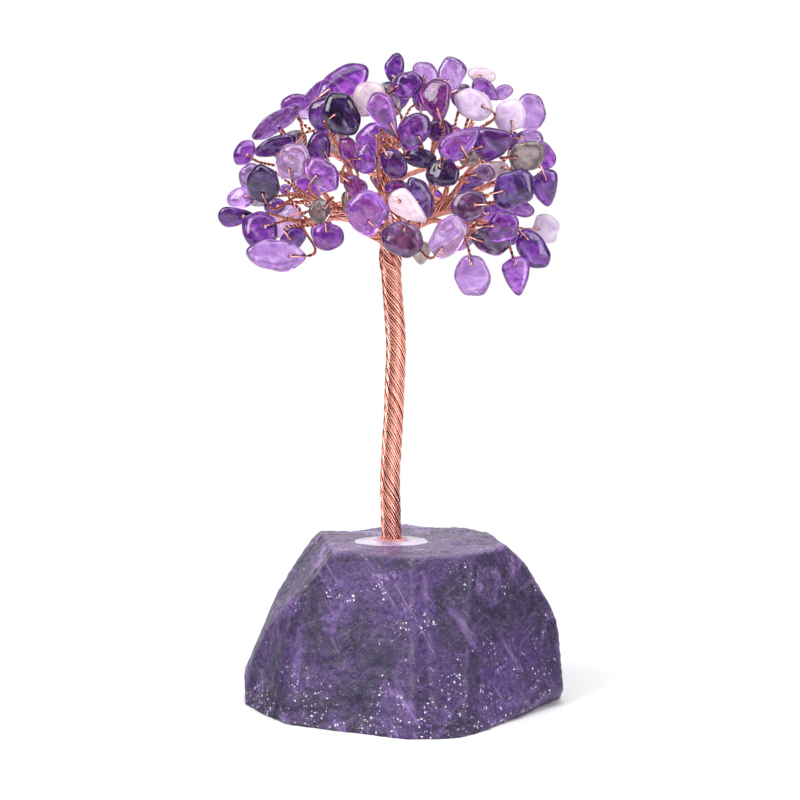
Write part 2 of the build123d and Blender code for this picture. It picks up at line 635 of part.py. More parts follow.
# Base: a block of amethyst cleaved on every side, sawn flat underneath, drilled for the trunk
with BuildPart() as base_stone:
    with BuildSketch(Plane.XY):
        Rectangle(stone_width * block_overrun_share, stone_depth * block_overrun_share)
    extrude(amount=stone_height)
    for direction, lean, reach, level in facet_shares:
        a, e = math.radians(direction), math.radians(lean)
        half = 1 / math.hypot(math.cos(a) / (stone_width / 2), math.sin(a) / (stone_depth / 2))
        cleave = Plane(
            origin=(math.cos(a) * half * reach, math.sin(a) * half * reach, stone_height * level),
            z_dir=(math.cos(a) * math.cos(e), math.sin(a) * math.cos(e), math.sin(e)),
        )
        split(bisect_by=cleave, keep=Keep.BOTTOM)
    with BuildSketch(Plane.XY.offset(stone_height)):
        Circle(socket_width / 2)
    extrude(amount=-socket_depth, mode=Mode.SUBTRACT)
finish(base_stone, "base_stone")

# Glue: a low pale patch on the stone, with a sleeve of it down the socket round the trunk
with BuildPart() as glue_patch:
    rim_angles = [2 * math.pi * k / len(glue_rim_shares) for k in range(len(glue_rim_shares))]
    with BuildSketch(Plane.XY.offset(stone_height)):
        Polygon(
            *[
                (math.cos(a) * rim * glue_patch_width / 2, math.sin(a) * rim * glue_patch_depth / 2)
                for a, rim in zip(rim_angles, glue_rim_shares)
            ],
            align=None,
        )
    extrude(amount=glue_rise, taper=glue_slope)
    with BuildSketch(Plane.XY.offset(stone_height)):
        RegularPolygon(radius=socket_width / 2 - fit_gap, side_count=sleeve_sides)
    extrude(amount=-socket_depth)
    with BuildSketch(Plane.XY.offset(stone_height + glue_rise)):
        RegularPolygon(radius=trunk_width / 2 + fit_gap, side_count=sleeve_sides, major_radius=False)
    extrude(amount=-(socket_depth + glue_rise), mode=Mode.SUBTRACT)
finish(glue_patch, "glue_patch")

# Trunk: a core of wires with the outer strands wound round it, right-hand down across the front
strand_ring = trunk_width / 2 - trunk_strand_width / 2
trunk_foot = stone_height - socket_depth + end_gap
bend_levels = [trunk_height * level for level, sway in bend_shares]
bend_sways = [trunk_sway * sway for level, sway in bend_shares]
trunk_path = [
    np.array([np.interp(z - stone_height, bend_levels, bend_sways), 0.0, z])
    for z in np.linspace(trunk_foot, fork_level, trunk_points)
]
trunk_turns = (fork_level - trunk_foot) / trunk_turn_height
core_width = 2 * (strand_ring * math.cos(math.pi / trunk_steps_per_turn) - trunk_strand_width / 2 - end_gap)
with BuildPart() as trunk_core:
    add(bar(trunk_path[::core_every], core_width / 2, core_sides))
finish(trunk_core, "trunk_core")
with BuildPart() as trunk_wires:
    add(strands(trunk_path, strand_ring, trunk_strand_width / 2, trunk_strand_count,
                trunk_turns, trunk_steps_per_turn, strand_sides, -1))
finish(trunk_wires, "trunk_wires")

# Limbs: three strands each, twisted from the fork outwards
limb_start_shares = {
    "left_limb": (-0.52, -0.52), "right_limb": (0.52, -0.52),
    "centre_limb": (-0.52, 0.52), "back_limb": (0.52, 0.52),
}
limb_paths = {}
for name, points in limb_shares.items():
    x, y = limb_start_shares[name]
    foot = trunk_path[-1] + np.array([x * limb_width, y * limb_width, end_gap])
    rise = foot + np.array([0, 0, limb_width / 2])
    limb_paths[name] = smooth([foot, rise, *[crown_point(*p) for p in points]], limb_steps)
    length = sum(np.linalg.norm(b - a) for a, b in zip(limb_paths[name], limb_paths[name][1:]))
    with BuildPart() as limb:
        add(strands(limb_paths[name], limb_width * limb_ring_share, limb_width * limb_strand_share,
                    limb_strand_count, length / limb_turn_length, limb_steps_per_turn, strand_sides, -1))
    finish(limb, name)

# Sprigs: stems, drilled chips and the wire of each chip
stems = [Stem(limb_paths[limb], share, crown_point(*hub)) for name, limb, share, hub, rows in sprig_shares]
chips = [Chip(row, crown_point(*hub)) for name, limb, share, hub, rows in sprig_shares for row in rows]
bars = [(path, limb_width / 2) for path in limb_paths.values()]
bars += [(stem.points, stem.radius) for stem in stems]
lines = [dense(path, wire_width) for path, radius in bars]
rods = np.vstack([
    np.column_stack([line, np.full(len(line), radius)]) for line, (path, radius) in zip(lines, bars)
])
settle(chips, rods, chip_gap)

clearance = Clearance(chips, rods)
index = 0
for number, (name, limb, share, hub, rows) in enumerate(sprig_shares):
    wires = [bar(stems[number].points, stems[number].radius, strand_sides)]
    stones = []
    for order in range(len(rows)):
        corners = route_pair(chips[index], index, stems[number], order, clearance)
        wires.append(bar(corners, wire_radius, wire_sides))
        stones.append(chips[index].solid())
        index += 1
    with BuildPart() as sprig_wires:
        add(wires)
    finish(sprig_wires, f"{name}_wires")
    with BuildPart() as sprig_chips:
        add(stones)
    finish(sprig_chips, f"{name}_chips")
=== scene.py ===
import itertools
import math

import bpy
import numpy as np
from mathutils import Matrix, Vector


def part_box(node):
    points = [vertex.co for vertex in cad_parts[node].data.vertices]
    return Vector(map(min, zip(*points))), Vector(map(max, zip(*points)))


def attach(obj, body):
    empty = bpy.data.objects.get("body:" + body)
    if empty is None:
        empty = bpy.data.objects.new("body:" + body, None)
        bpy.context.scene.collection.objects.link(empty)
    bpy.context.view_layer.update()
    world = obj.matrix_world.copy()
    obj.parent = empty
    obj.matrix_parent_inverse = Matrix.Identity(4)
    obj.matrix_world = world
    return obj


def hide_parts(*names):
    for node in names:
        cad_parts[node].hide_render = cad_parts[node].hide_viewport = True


# The looks of the gemstone tree: tumbled amethyst chips hung on twisted copper wire, a trunk of
# fine copper wires, a pale patch of glue and a rough block of amethyst. Metres, +Z up, front -Y.

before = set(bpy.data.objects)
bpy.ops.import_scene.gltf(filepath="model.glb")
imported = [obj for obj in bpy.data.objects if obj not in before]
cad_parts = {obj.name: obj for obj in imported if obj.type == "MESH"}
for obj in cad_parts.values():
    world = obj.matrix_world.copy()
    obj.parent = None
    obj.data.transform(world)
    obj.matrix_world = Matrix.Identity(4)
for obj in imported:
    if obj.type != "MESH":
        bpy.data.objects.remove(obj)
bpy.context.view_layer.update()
chance = np.random.default_rng(5009)

mm = 0.001
per_metre = 1000
full_turn = 2 * math.pi
phase_end = 6

# Fine wire: its size, the twist of a chip's pair, and how a wire wanders in its bundle
wire_radius = 0.19 * mm
wire_sides = 8
pair_pitch = 2.1 * mm
pair_pitch_shares = (0.85, 1.2)
pair_half_gap = 0.195 * mm
path_step = 0.22 * mm
chip_wire_room = 1.6
wander_share = 0.08
long_wander = 8 * mm
short_wander = 3.5 * mm
short_wander_share = 0.6
groove_shade = 0.3

# Trunk
trunk_wires = 22
trunk_wire_radius = 0.29 * mm
trunk_wire_lift = 0.09 * mm
trunk_heart_sink = 0.12 * mm
trunk_foot_pitch = 26 * mm
trunk_pitch_fall = 7 * mm
trunk_tuck = 0.42
trunk_tuck_share = 0.05

# Limbs: they start down inside the trunk, one point at each drop below the fork
limb_wires = 9
limb_wire_radius = 0.3 * mm
limb_ring = 0.9 * mm
limb_heart = 0.78 * mm
limb_pitch = 10.5 * mm
limb_step = 0.32 * mm
limb_end = 1.5 * mm
limb_drops = (7.0, 5.6, 4.2, 2.8, 1.4)
limb_drop_pitch = 22
limb_gather = 0.95 * mm
limb_foot_share = 0.65

# Stems of the sprigs
stem_wires = 7
stem_ring = 0.44 * mm
stem_heart = 0.34 * mm
stem_pitch = 6.0 * mm
stem_root = 3.2 * mm
stem_root_share = 0.45
stem_end = 1.6 * mm
pair_root = 1.8 * mm
pair_root_share = 0.5

# Chips
chip_rings = 30
chip_spokes = 60
hole_radius = 0.43 * mm
chip_softness = (0.42, 0.6)
chip_face_room = 0.35
chip_rim_room = 0.6
chip_wave_count = 5
chip_wave_lengths = (1.1, 2.6)
chip_wave_heights = (0.03, 0.09)
worn_plane_counts = (3, 7)
worn_plane_shares = (0.88, 0.98)
worn_plane_lean = 1.2
worn_plane_reach = 1.5 * mm
shade_shares = (0.85, 1.15)
last_seed = 400

# Stone: waves as length, depth and count, then scoops, and the calm round the glue, in millimetres
stone_spokes = 330
stone_rings = 250
stone_top = 38.5 * mm
stone_middle = np.array([0, 0, 12 * mm])
stone_softness = 0.2 * mm
stone_sink = 0.15 * mm
ridge_width = 0.35 * mm
stone_waves = ((17, 0.24, 6), (7, 0.08, 9), (3.2, 0.05, 14), (1.6, 0.035, 18))
stone_wave_stretch = (0.7, 1.4)
stone_wave_strength = (0.4, 1)
scoop_count = 60
scoop_sizes = (3, 13)
scoop_depths = (0.2, 0.6)
scoop_spread = (1, 1, 0.75)
scoop_floor = -9 * mm
calm_radius, calm_fade = 9.5, 6
calm_level, calm_rise = 36, 1.5
socket_floor = 24.5 * mm
socket_radius = 3.2 * mm
socket_mouth = 0.2 * mm

# Glue: skin as share of the rim and rise, collar as radius, rise and share of painted copper reflection, in
# millimetres
glue_spokes = 200
bore = 2.43 * mm
sleeve_radius = 3.1 * mm
sleeve_mouth = 0.1 * mm
sleeve_rim = 3.15 * mm
collar_top = 0.85 * mm
glue_rim_share, glue_rim_swing = 0.95, 0.045
glue_skin = [(0.985, 0.0), (1.0, 0.03), (0.985, 0.08), (0.94, 0.13)]
glue_skin += [(0.86, 0.17), (0.76, 0.2), (0.66, 0.22), (0.56, 0.24)]
glue_collar = [(3.9, 0.28, 0.3), (3.5, 0.45, 0.8), (3.2, 0.7, 1.0), (2.9, 0.84, 1.0), (2.55, 0.88, 1.0)]
swell_waves = ((0.12, 3, 10), (0.08, 7, 11))
lump_waves = ((0.5, 7, 0), (0.35, 12, 3), (0.2, 23, 5))

# Tone of each chip by sprig, with its place in the front view, across and down in pixels
photo_scale = 0.2325
photo_axis = 390.0
photo_foot = 703.0
chip_places = {
    "left_low": [
        ("deep", 240, 207), ("middle", 265, 222), ("lilac", 279, 245),
        ("deep", 274, 204), ("deep", 295, 222),
    ],
    "left_middle": [("black", 270, 171), ("lilac", 251, 173), ("lilac", 248, 189), ("middle", 292, 185)],
    "left_top": [
        ("middle", 248, 153), ("violet", 289, 123), ("deep", 280, 138),
        ("middle", 297, 110), ("lilac", 275, 122),
    ],
    "left_inner": [
        ("clear", 296, 154), ("violet", 322, 167), ("olive", 323, 202),
        ("middle", 331, 226), ("violet", 314, 226),
    ],
    "left_crest": [("middle", 345, 86), ("violet", 316, 90), ("deep", 321, 110), ("black", 347, 112)],
    "left_heart": [
        ("deep", 325, 144), ("plum", 347, 150), ("middle", 371, 150),
        ("plum", 356, 176), ("olive", 351, 192),
    ],
    "centre_crest": [("rose", 364, 98), ("violet", 384, 117), ("smoky", 389, 101), ("middle", 403, 86)],
    "centre_heart": [("middle", 408, 130), ("deep", 395, 158), ("black", 417, 155), ("middle", 418, 96)],
    "centre_low": [("violet", 370, 201), ("middle", 395, 183), ("rose", 407, 204), ("indigo", 418, 191)],
    "centre_hanging": [("dusk", 404, 223), ("beige", 419, 249), ("clear", 438, 224)],
    "right_crest_inner": [
        ("lilac", 420, 76), ("lilac", 449, 72), ("plum", 434, 98), ("smoky", 459, 84), ("deep", 436, 127),
    ],
    "right_crest_outer": [("pale", 469, 101), ("violet", 482, 90), ("rose", 479, 78), ("lilac", 497, 88)],
    "right_shoulder": [
        ("pale", 504, 112), ("lilac", 522, 113), ("lilac", 523, 136), ("deep", 489, 137), ("deep", 510, 135),
    ],
    "right_heart": [("violet", 456, 142), ("dusk", 470, 168), ("olive", 465, 154), ("black", 437, 172)],
    "right_outer": [("middle", 538, 150), ("olive", 518, 156), ("deep", 542, 184), ("rose", 494, 164)],
    "right_middle": [("indigo", 504, 182), ("violet", 511, 194), ("dusk", 464, 197), ("middle", 491, 214)],
    "right_low": [("dusk", 487, 231), ("plum", 467, 217), ("lilac", 460, 232), ("lilac", 471, 263)],
    "right_tip": [("deep", 526, 241), ("pale", 541, 225), ("violet", 505, 259), ("deep", 507, 232)],
}
back_tones = ["middle", "deep", "lilac", "violet", "middle", "plum", "deep", "smoky", "clear", "middle"]

# Tones: body colour, deep colour, also used for the painted shade at the rim, share of pale veils
tones = {
    "middle": ((0.40, 0.09, 0.60), (0.11, 0.014, 0.25), 0.45),
    "violet": ((0.52, 0.19, 0.71), (0.20, 0.04, 0.40), 0.5),
    "deep": ((0.22, 0.045, 0.41), (0.05, 0.006, 0.13), 0.3),
    "indigo": ((0.19, 0.07, 0.36), (0.05, 0.016, 0.12), 0.3),
    "black": ((0.085, 0.028, 0.18), (0.022, 0.007, 0.05), 0.4),
    "plum": ((0.42, 0.09, 0.44), (0.17, 0.025, 0.20), 0.4),
    "lilac": ((0.60, 0.35, 0.76), (0.36, 0.14, 0.54), 0.6),
    "clear": ((0.74, 0.53, 0.85), (0.46, 0.23, 0.60), 0.55),
    "pale": ((0.86, 0.74, 0.90), (0.66, 0.46, 0.74), 0.6),
    "rose": ((0.88, 0.73, 0.80), (0.68, 0.46, 0.60), 0.75),
    "smoky": ((0.44, 0.32, 0.40), (0.13, 0.075, 0.12), 0.5),
    "olive": ((0.42, 0.33, 0.33), (0.11, 0.075, 0.075), 0.5),
    "beige": ((0.60, 0.49, 0.44), (0.36, 0.27, 0.24), 0.6),
    "dusk": ((0.30, 0.13, 0.35), (0.08, 0.025, 0.12), 0.45),
}
cloudy_tones = {"rose", "beige", "pale"}

# Sides from which a run's first cross direction is taken
tube_hint = np.array([0.31, 0.47, 0.83])
front_hint = np.array([0, -1, 0]) + 0.01
chip_hint = np.array([0.35, 0.2, 0.9])
upright = np.array([0, 0, 1.0])


def unit(vector):
    return vector / np.linalg.norm(vector)


def square_to(direction, hint):
    """The part of hint at right angles to direction, one long."""
    return unit(hint - direction * np.dot(hint, direction))


def swung(angles, side, other):
    """Directions at these angles from one side towards the other."""
    return np.cos(angles)[..., None] * side + np.sin(angles)[..., None] * other


def run_of(points):
    """How far along the run each point lies."""
    return np.concatenate([[0], np.cumsum(np.linalg.norm(np.diff(points, axis=0), axis=1))])


def spaced(points, count):
    """The same run as a number of points at even distances."""
    lengths = run_of(points)
    stops = np.linspace(0, lengths[-1], count)
    return np.column_stack([np.interp(stops, lengths, column) for column in points.T])


def even_line(points, step):
    """The same run in even steps of about the length asked for."""
    return spaced(points, max(2, int(round(run_of(points)[-1] / step)) + 1))


def crosses(corners, triangles):
    """For each triangle a vector square to it, as long as twice its area."""
    a, b, c = (corners[triangles[:, k]] for k in range(3))
    return np.cross(b - a, c - a)


def grid_faces(rows, columns, round_rows=False, round_columns=False):
    """Four-cornered faces over a grid of corners, which can close on itself both ways."""
    i = np.arange(rows if round_rows else rows - 1)[:, None]
    j = np.arange(columns if round_columns else columns - 1)[None, :]
    here, after = i * columns, (i + 1) % rows * columns
    j2 = (j + 1) % columns
    return np.stack([here + j, here + j2, after + j2, after + j], axis=2).reshape(-1, 4)


def loose_pieces(node):
    """The separate solids of a CAD node, each as its corners and its triangles."""
    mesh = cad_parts[node].data
    mesh.calc_loop_triangles()
    corners = np.array([v.co for v in mesh.vertices])
    merged, place = np.unique(np.round(corners / mm, 4), axis=0, return_inverse=True)
    triangles = place.reshape(-1)[np.array([t.vertices for t in mesh.loop_triangles])]
    group = np.arange(len(merged))
    while True:
        least = group[triangles].min(1)
        fresh = group.copy()
        for k in range(3):
            np.minimum.at(fresh, triangles[:, k], least)
        fresh = fresh[fresh]
        if (fresh == group).all():
            break
        group = fresh
    least_corners = 6
    pieces = []
    for name in np.unique(group):
        own = np.flatnonzero(group == name)
        if len(own) < least_corners:
            continue
        number = {old: new for new, old in enumerate(own)}
        mine = [[number[i] for i in t] for t in triangles if group[t[0]] == name and len(set(t)) == 3]
        pieces.append((merged[own] * mm, np.array(mine)))
    return pieces


def outer_planes(corners, triangles, least_size=0.0):
    """The planes round a solid, and its triangles with their normals and whether they lie on one."""
    normals = crosses(corners, triangles)
    sizes = np.linalg.norm(normals, axis=1)
    kept = sizes > least_size
    normals, triangles = normals[kept] / sizes[kept][:, None], triangles[kept]
    offsets = (normals * corners[triangles[:, 0]]).sum(1)
    slack = 0.002 * mm
    outer = (corners @ normals.T).max(0) < offsets + slack
    planes = np.unique(np.round(np.column_stack([normals[outer], offsets[outer] / mm]), 3), axis=0)
    return planes, triangles, normals, outer


def ring_centres(corners, triangles, sides):
    """Centres of the corner rings of a straight-sided bar, from one end to the other."""
    near = [set() for _ in corners]
    for a, b, c in triangles:
        near[a].update((b, c))
        near[b].update((a, c))
        near[c].update((a, b))
    edges = {}
    normals = crosses(corners, triangles)
    least_size, same_plane = 1e-12, 0.9999
    normals /= np.maximum(np.linalg.norm(normals, axis=1), least_size)[:, None]
    for number, t in enumerate(triangles):
        for k in range(3):
            edges.setdefault(frozenset((t[k], t[(k + 1) % 3])), []).append(number)
    flat = list(range(len(triangles)))
    for pair in edges.values():
        if len(pair) == 2 and np.dot(normals[pair[0]], normals[pair[1]]) > same_plane:
            a, b = flat[pair[0]], flat[pair[1]]
            flat = [min(a, b) if f in (a, b) else f for f in flat]
    ends = []
    for f in set(flat):
        face = set(triangles[[k for k, g in enumerate(flat) if g == f]].reshape(-1))
        around = set().union(*[near[i] for i in face]) - face
        if len(face) == sides and len(around) == sides:
            ends.append(face)
    if not ends:
        return None
    ring = ends[0]
    seen = set(ring)
    centres = [corners[list(ring)].mean(0)]
    while len(seen) < len(corners):
        ring = set().union(*[near[i] for i in ring]) - seen
        if len(ring) != sides:
            return None
        seen |= ring
        centres.append(corners[list(ring)].mean(0))
    return np.array(centres)


def eased_corners(points):
    """The same run of points with each sharp turn split into two gentler ones."""
    sharp_cosine, cut_share = 0.6, 0.27
    run = [points[0]]
    for before, here, after in zip(points, points[1:], points[2:]):
        if np.dot(unit(here - before), unit(after - here)) < sharp_cosine:
            run += [here + (before - here) * cut_share, here + (after - here) * cut_share]
        else:
            run.append(here)
    return np.array([*run, points[-1]])


def smooth_line(points, step):
    """A smooth curve through the points, in even steps."""
    per_span, least_chord = 14, 1e-9
    points = np.asarray(points, float)
    ends = np.vstack([2 * points[0] - points[1], points, 2 * points[-1] - points[-2]])
    run = []
    for a, b, c, d in zip(ends, ends[1:], ends[2:], ends[3:]):
        chords = [max(np.linalg.norm(q - p), least_chord) for p, q in ((a, b), (b, c), (c, d))]
        k0, k1, k2, k3 = np.cumsum([0] + [chord**0.5 for chord in chords])
        t = np.linspace(k1, k2, per_span, endpoint=False)[:, None]
        a1 = (k1 - t) / (k1 - k0) * a + (t - k0) / (k1 - k0) * b
        a2 = (k2 - t) / (k2 - k1) * b + (t - k1) / (k2 - k1) * c
        a3 = (k3 - t) / (k3 - k2) * c + (t - k2) / (k3 - k2) * d
        b1 = (k2 - t) / (k2 - k0) * a1 + (t - k0) / (k2 - k0) * a2
        b2 = (k3 - t) / (k3 - k1) * a2 + (t - k1) / (k3 - k1) * a3
        run.append((k2 - t) / (k2 - k1) * b1 + (t - k1) / (k2 - k1) * b2)
    return even_line(np.vstack([*run, points[-1:]]), step)


def frames_along(line, hint):
    """Two sides square to each point of a line, carried along it without twist."""
    direction = np.gradient(line, axis=0)
    direction /= np.linalg.norm(direction, axis=1)[:, None]
    side = square_to(direction[0], hint)
    sides = [side]
    for d in direction[1:]:
        side = square_to(d, side)
        sides.append(side)
    sides = np.array(sides)
    return sides, np.cross(direction, sides)


def tube(line, radius, sides=wire_sides, outward=None):
    """A round wire along a line, with closed ends, and how much each corner faces out of its bundle."""
    side, other = frames_along(line, tube_hint)
    radius = np.broadcast_to(radius, len(line))[:, None, None]
    angles = np.arange(sides) * full_turn / sides
    ring = swung(angles, side[:, None], other[:, None])
    corners = (line[:, None] + ring * radius).reshape(-1, 3)
    # Without outward directions every corner faces nought, so the whole wire takes the painted gap shade.
    if outward is None:
        outward = np.zeros_like(line)
    facing = (ring * outward[:, None]).sum(2).reshape(-1)
    faces = grid_faces(len(line), sides, round_columns=True)
    last = len(corners) - sides
    caps = [list(range(sides))[::-1], list(range(last, last + sides))]
    return corners, faces.tolist() + caps, facing


def wound(line, count, ring_radius, radius, pitch, phase=0.0, bundles=0, groove=0.0):
    """Wires wound side by side round a line, each wandering a little, in bundles with grooves between."""
    side, other = frames_along(line, front_hint)
    steps = run_of(line)
    turn = -full_turn * np.cumsum(np.gradient(steps) / pitch)
    wires = []
    for k in range(count):
        drift = chance.normal(0, 1)
        start = chance.uniform(0, phase_end)
        swell = chance.normal(0, 1)
        begin = chance.uniform(0, phase_end)
        sway = drift * np.sin(steps / long_wander + start)
        sway = sway + short_wander_share * swell * np.sin(steps / short_wander + begin)
        angle = turn + phase + full_turn * (k + sway * wander_share) / count
        place_in_bundle = (k * bundles / count) % 1 if bundles else 0.5
        sink = (2 * place_in_bundle - 1) ** 2
        lift = ring_radius - groove * sink + sway * wander_share * radius
        lift = np.broadcast_to(lift, len(line))[:, None]
        outward = swung(angle, side, other)
        corners, faces, facing = tube(line + outward * lift, radius, outward=outward)
        # Wires sunk in a groove face less, so they get more painted shade there.
        wires.append((corners, faces, facing - groove_shade * sink))
    return wires


def eased(count, share, low):
    """One along most of a run and easing down to low over the share at its far end."""
    place = np.linspace(0, 1, count)
    fall = np.clip((place - (1 - share)) / share, 0, 1)
    return 1 - (1 - low) * fall * fall * (3 - 2 * fall)


def soft_top(heights):
    """The highest of the heights over the planes, rounded where two come close."""
    top = heights.max(1)
    return top + np.log(np.exp(heights - top[:, None]).sum(1))


def reach_along(outside, directions, limit, rounds):
    """Distance from the middle to the surface along each direction, found by halving."""
    low, high = np.zeros(len(directions)), np.full(len(directions), limit)
    for _ in range(rounds):
        half = (low + high) / 2
        out = outside(directions * half[:, None]) > 0
        high, low = np.where(out, half, high), np.where(out, low, half)
    return low


def placed(name, data):
    """A new object in the scene."""
    body = bpy.data.objects.new(name, data)
    bpy.context.scene.collection.objects.link(body)
    return body


def join_parts(parts):
    """The corners and faces of several parts as one list of each."""
    corners, faces, start = [], [], 0
    for part in parts:
        corners.append(part[0])
        faces.extend([[start + i for i in polygon] for polygon in part[1]])
        start += len(part[0])
    return np.vstack(corners), faces


def make_piece(name, parts, material, node, layers):
    """One visible piece of the object, which stands for a CAD node, with values stored at its corners."""
    corners, faces = join_parts(parts)
    mesh = bpy.data.meshes.new(name)
    mesh.from_pydata(corners.tolist(), [], faces)
    mesh.materials.append(material)
    mesh.shade_smooth()
    for label, values in layers.items():
        kind, key = ("FLOAT_COLOR", "color") if values.ndim == 2 else ("FLOAT", "value")
        layer = mesh.attributes.new(label, kind, "POINT")
        layer.data.foreach_set(key, values.astype(np.float32).reshape(-1))
    piece = placed(name, mesh)
    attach(piece, "root")
    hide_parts(node)
    return piece


def make_wires(name, parts, node):
    """One visible piece of copper wires, with each corner's facing stored for the painted shade in the gaps
    between wires.
    """
    facing = np.concatenate([facing for corners, faces, facing in parts])
    make_piece(name, parts, copper, node, {"facing": facing})


class Pebble:
    """A tumbled chip that fills its CAD solid: rounded cleavage planes, worn dents, a drilled hole."""

    def __init__(self, corners, triangles):
        planes, triangles, normals, outer = outer_planes(corners, triangles, least_size=1e-10)
        self.hole = corners[np.unique(triangles[~outer])].mean(0)
        wall = normals[~outer]
        self.axis = unit(np.linalg.svd(np.cross(wall, np.roll(wall, 1, axis=0)))[2][0])
        self.centre = corners.mean(0)
        self.normals = planes[:, :3] / np.linalg.norm(planes[:, :3], axis=1)[:, None]
        self.offsets = (self.normals @ corners.T).max(1) - self.normals @ self.hole
        self.soft = chance.uniform(*chip_softness) * mm
        on_rim = 1 - np.abs(self.normals @ self.axis) ** 4
        self.offsets += self.soft * (chip_face_room + chip_rim_room * on_rim)
        self.corners = corners - self.hole
        self.wear_down()
        waves = chance.normal(0, 1, (chip_wave_count, 3))
        self.waves = waves / (chance.uniform(*chip_wave_lengths, (chip_wave_count, 1)) * mm)
        self.phases = chance.uniform(0, full_turn, chip_wave_count)
        self.swell = chance.uniform(*chip_wave_heights, chip_wave_count) * mm

    def wear_down(self):
        """A few more worn planes, cut a little inside the CAD solid on the side away from the hole."""
        for _ in range(chance.integers(*worn_plane_counts)):
            normal = unit(chance.normal(0, 1, 3) + self.axis * chance.normal(0, worn_plane_lean))
            reach = (self.corners @ normal).max()
            if reach > worn_plane_reach:
                self.normals = np.vstack([self.normals, normal])
                self.offsets = np.append(self.offsets, reach * chance.uniform(*worn_plane_shares))

    def outside(self, points):
        """Below zero inside the pebble, above zero outside it."""
        field = soft_top((points @ self.normals.T - self.offsets) / self.soft) * self.soft
        for wave, phase, swell in zip(self.waves, self.phases, self.swell):
            field = field + swell * np.sin(points @ wave + phase)
        return field

    def reach(self, directions):
        """Distance from the middle of the hole to the surface, along each direction."""
        return reach_along(self.outside, directions, limit=20 * mm, rounds=24)

    def surface(self):
        """The pebble as rings round its hole, from one mouth of the hole over the outside to the other."""
        outline_points, profile_points, pole_tilt = 241, 120, 0.02
        by_length, by_angle = 0.7, 0.3
        mouth_share, flare_share, wall_share = 1.25, 1.08, 0.4
        flare_depth, mouth_depth = 0.03 * mm, 0.15 * mm
        across = square_to(self.axis, chip_hint)
        up = np.cross(self.axis, across)
        fine = np.linspace(0, full_turn, outline_points)
        flat = swung(fine, across, up)
        run = run_of(flat * self.reach(flat)[:, None])
        run = by_length * run / run[-1] + by_angle * fine / fine[-1]
        angles = np.interp(np.arange(chip_spokes) / chip_spokes, run, fine)
        spokes = swung(angles, across, up)
        tilt = np.linspace(pole_tilt, math.pi - pole_tilt, profile_points)
        directions = swung(tilt, self.axis, spokes[:, None])
        reach = self.reach(directions.reshape(-1, 3)).reshape(directions.shape[:2])
        out = reach * np.sin(tilt)
        level = reach * np.cos(tilt)
        rings = []
        for k in range(chip_spokes):
            wide = out[k] > hole_radius * mouth_share
            first, last = np.argmax(wide), len(tilt) - np.argmax(wide[::-1])
            outer = spaced(np.column_stack([out[k, first:last], level[k, first:last]]), chip_rings)
            low, high = outer[-1, 1], outer[0, 1]
            bore_wall = [
                (hole_radius * flare_share, low + flare_depth),
                (hole_radius, low + mouth_depth),
                (hole_radius, low * wall_share),
                (hole_radius, high * wall_share),
                (hole_radius, high - mouth_depth),
                (hole_radius * flare_share, high - flare_depth),
            ]
            whole = np.vstack([outer, bore_wall])
            rings.append(whole[:, :1] * spokes[k] + whole[:, 1:] * self.axis)
        corners = np.array(rings).reshape(-1, 3) + self.hole
        faces = grid_faces(chip_spokes, len(rings[0]), round_rows=True, round_columns=True)
        return corners, faces.tolist()


# Looks
def node_of(tree, kind, **settings):
    node = tree.nodes.new(kind)
    for key, value in settings.items():
        setattr(node, key, value)
    return node


def feed(tree, socket, value):
    """Links a socket to another, or sets its plain value."""
    if isinstance(value, bpy.types.NodeSocket):
        tree.links.new(value, socket)
    elif isinstance(value, (tuple, list)) and len(value) == 3 and socket.type == "RGBA":
        socket.default_value = (*value, 1)
    else:
        socket.default_value = value


def feed_all(tree, node, values):
    for key, value in values.items():
        feed(tree, node.inputs[key], value)


def maths(tree, kind, a, b):
    node = node_of(tree, "ShaderNodeMath", operation=kind)
    feed_all(tree, node, {0: a, 1: b})
    return node.outputs[0]


def times(tree, a, b):
    return maths(tree, "MULTIPLY", a, b)


def plus(tree, a, b):
    return maths(tree, "ADD", a, b)


def over(tree, value, limit):
    return maths(tree, "GREATER_THAN", value, limit)


def blend_of(tree, share, a, b):
    node = node_of(tree, "ShaderNodeMix", data_type="RGBA")
    feed_all(tree, node, {"Factor": share, 6: a, 7: b})
    return node.outputs[2]


def noise_of(tree, where, scale, detail=4.0, roughness=0.55, distortion=0.0):
    """Noise by its scale in each millimetre, detail, roughness and distortion."""
    node = node_of(tree, "ShaderNodeTexNoise")
    values = {"Vector": where, "Scale": scale, "Detail": detail, "Roughness": roughness}
    feed_all(tree, node, {**values, "Distortion": distortion})
    return node.outputs["Fac"]


def range_of(tree, value, span, onto=(0.0, 1.0), smooth=True):
    """The value's place in one span, carried over to another."""
    node = node_of(tree, "ShaderNodeMapRange", interpolation_type="SMOOTHSTEP" if smooth else "LINEAR")
    ends = {"From Min": span[0], "From Max": span[1], "To Min": onto[0], "To Max": onto[1]}
    feed_all(tree, node, {"Value": value, **ends})
    return node.outputs[0]


def patches_of(tree, where, span, *noise, onto=(0.0, 1.0)):
    """Cloudy patches: noise whose span is carried over to another."""
    return range_of(tree, noise_of(tree, where, *noise), span, onto)


def bump_of(tree, height, strength, distance):
    node = node_of(tree, "ShaderNodeBump")
    feed_all(tree, node, {"Strength": strength, "Distance": distance, "Height": height})
    return node.outputs[0]


def mix_of(tree, share, first, second):
    node = node_of(tree, "ShaderNodeMixShader")
    feed_all(tree, node, {0: share, 1: first.outputs[0], 2: second.outputs[0]})
    return node.outputs[0]


def new_group(name, inputs, outputs):
    tree = bpy.data.node_groups.new(name, "ShaderNodeTree")
    for way, sockets in (("INPUT", inputs), ("OUTPUT", outputs)):
        for label, kind in sockets.items():
            tree.interface.new_socket(label, in_out=way, socket_type="NodeSocket" + kind)
    return tree, node_of(tree, "NodeGroupInput").outputs, node_of(tree, "NodeGroupOutput").inputs


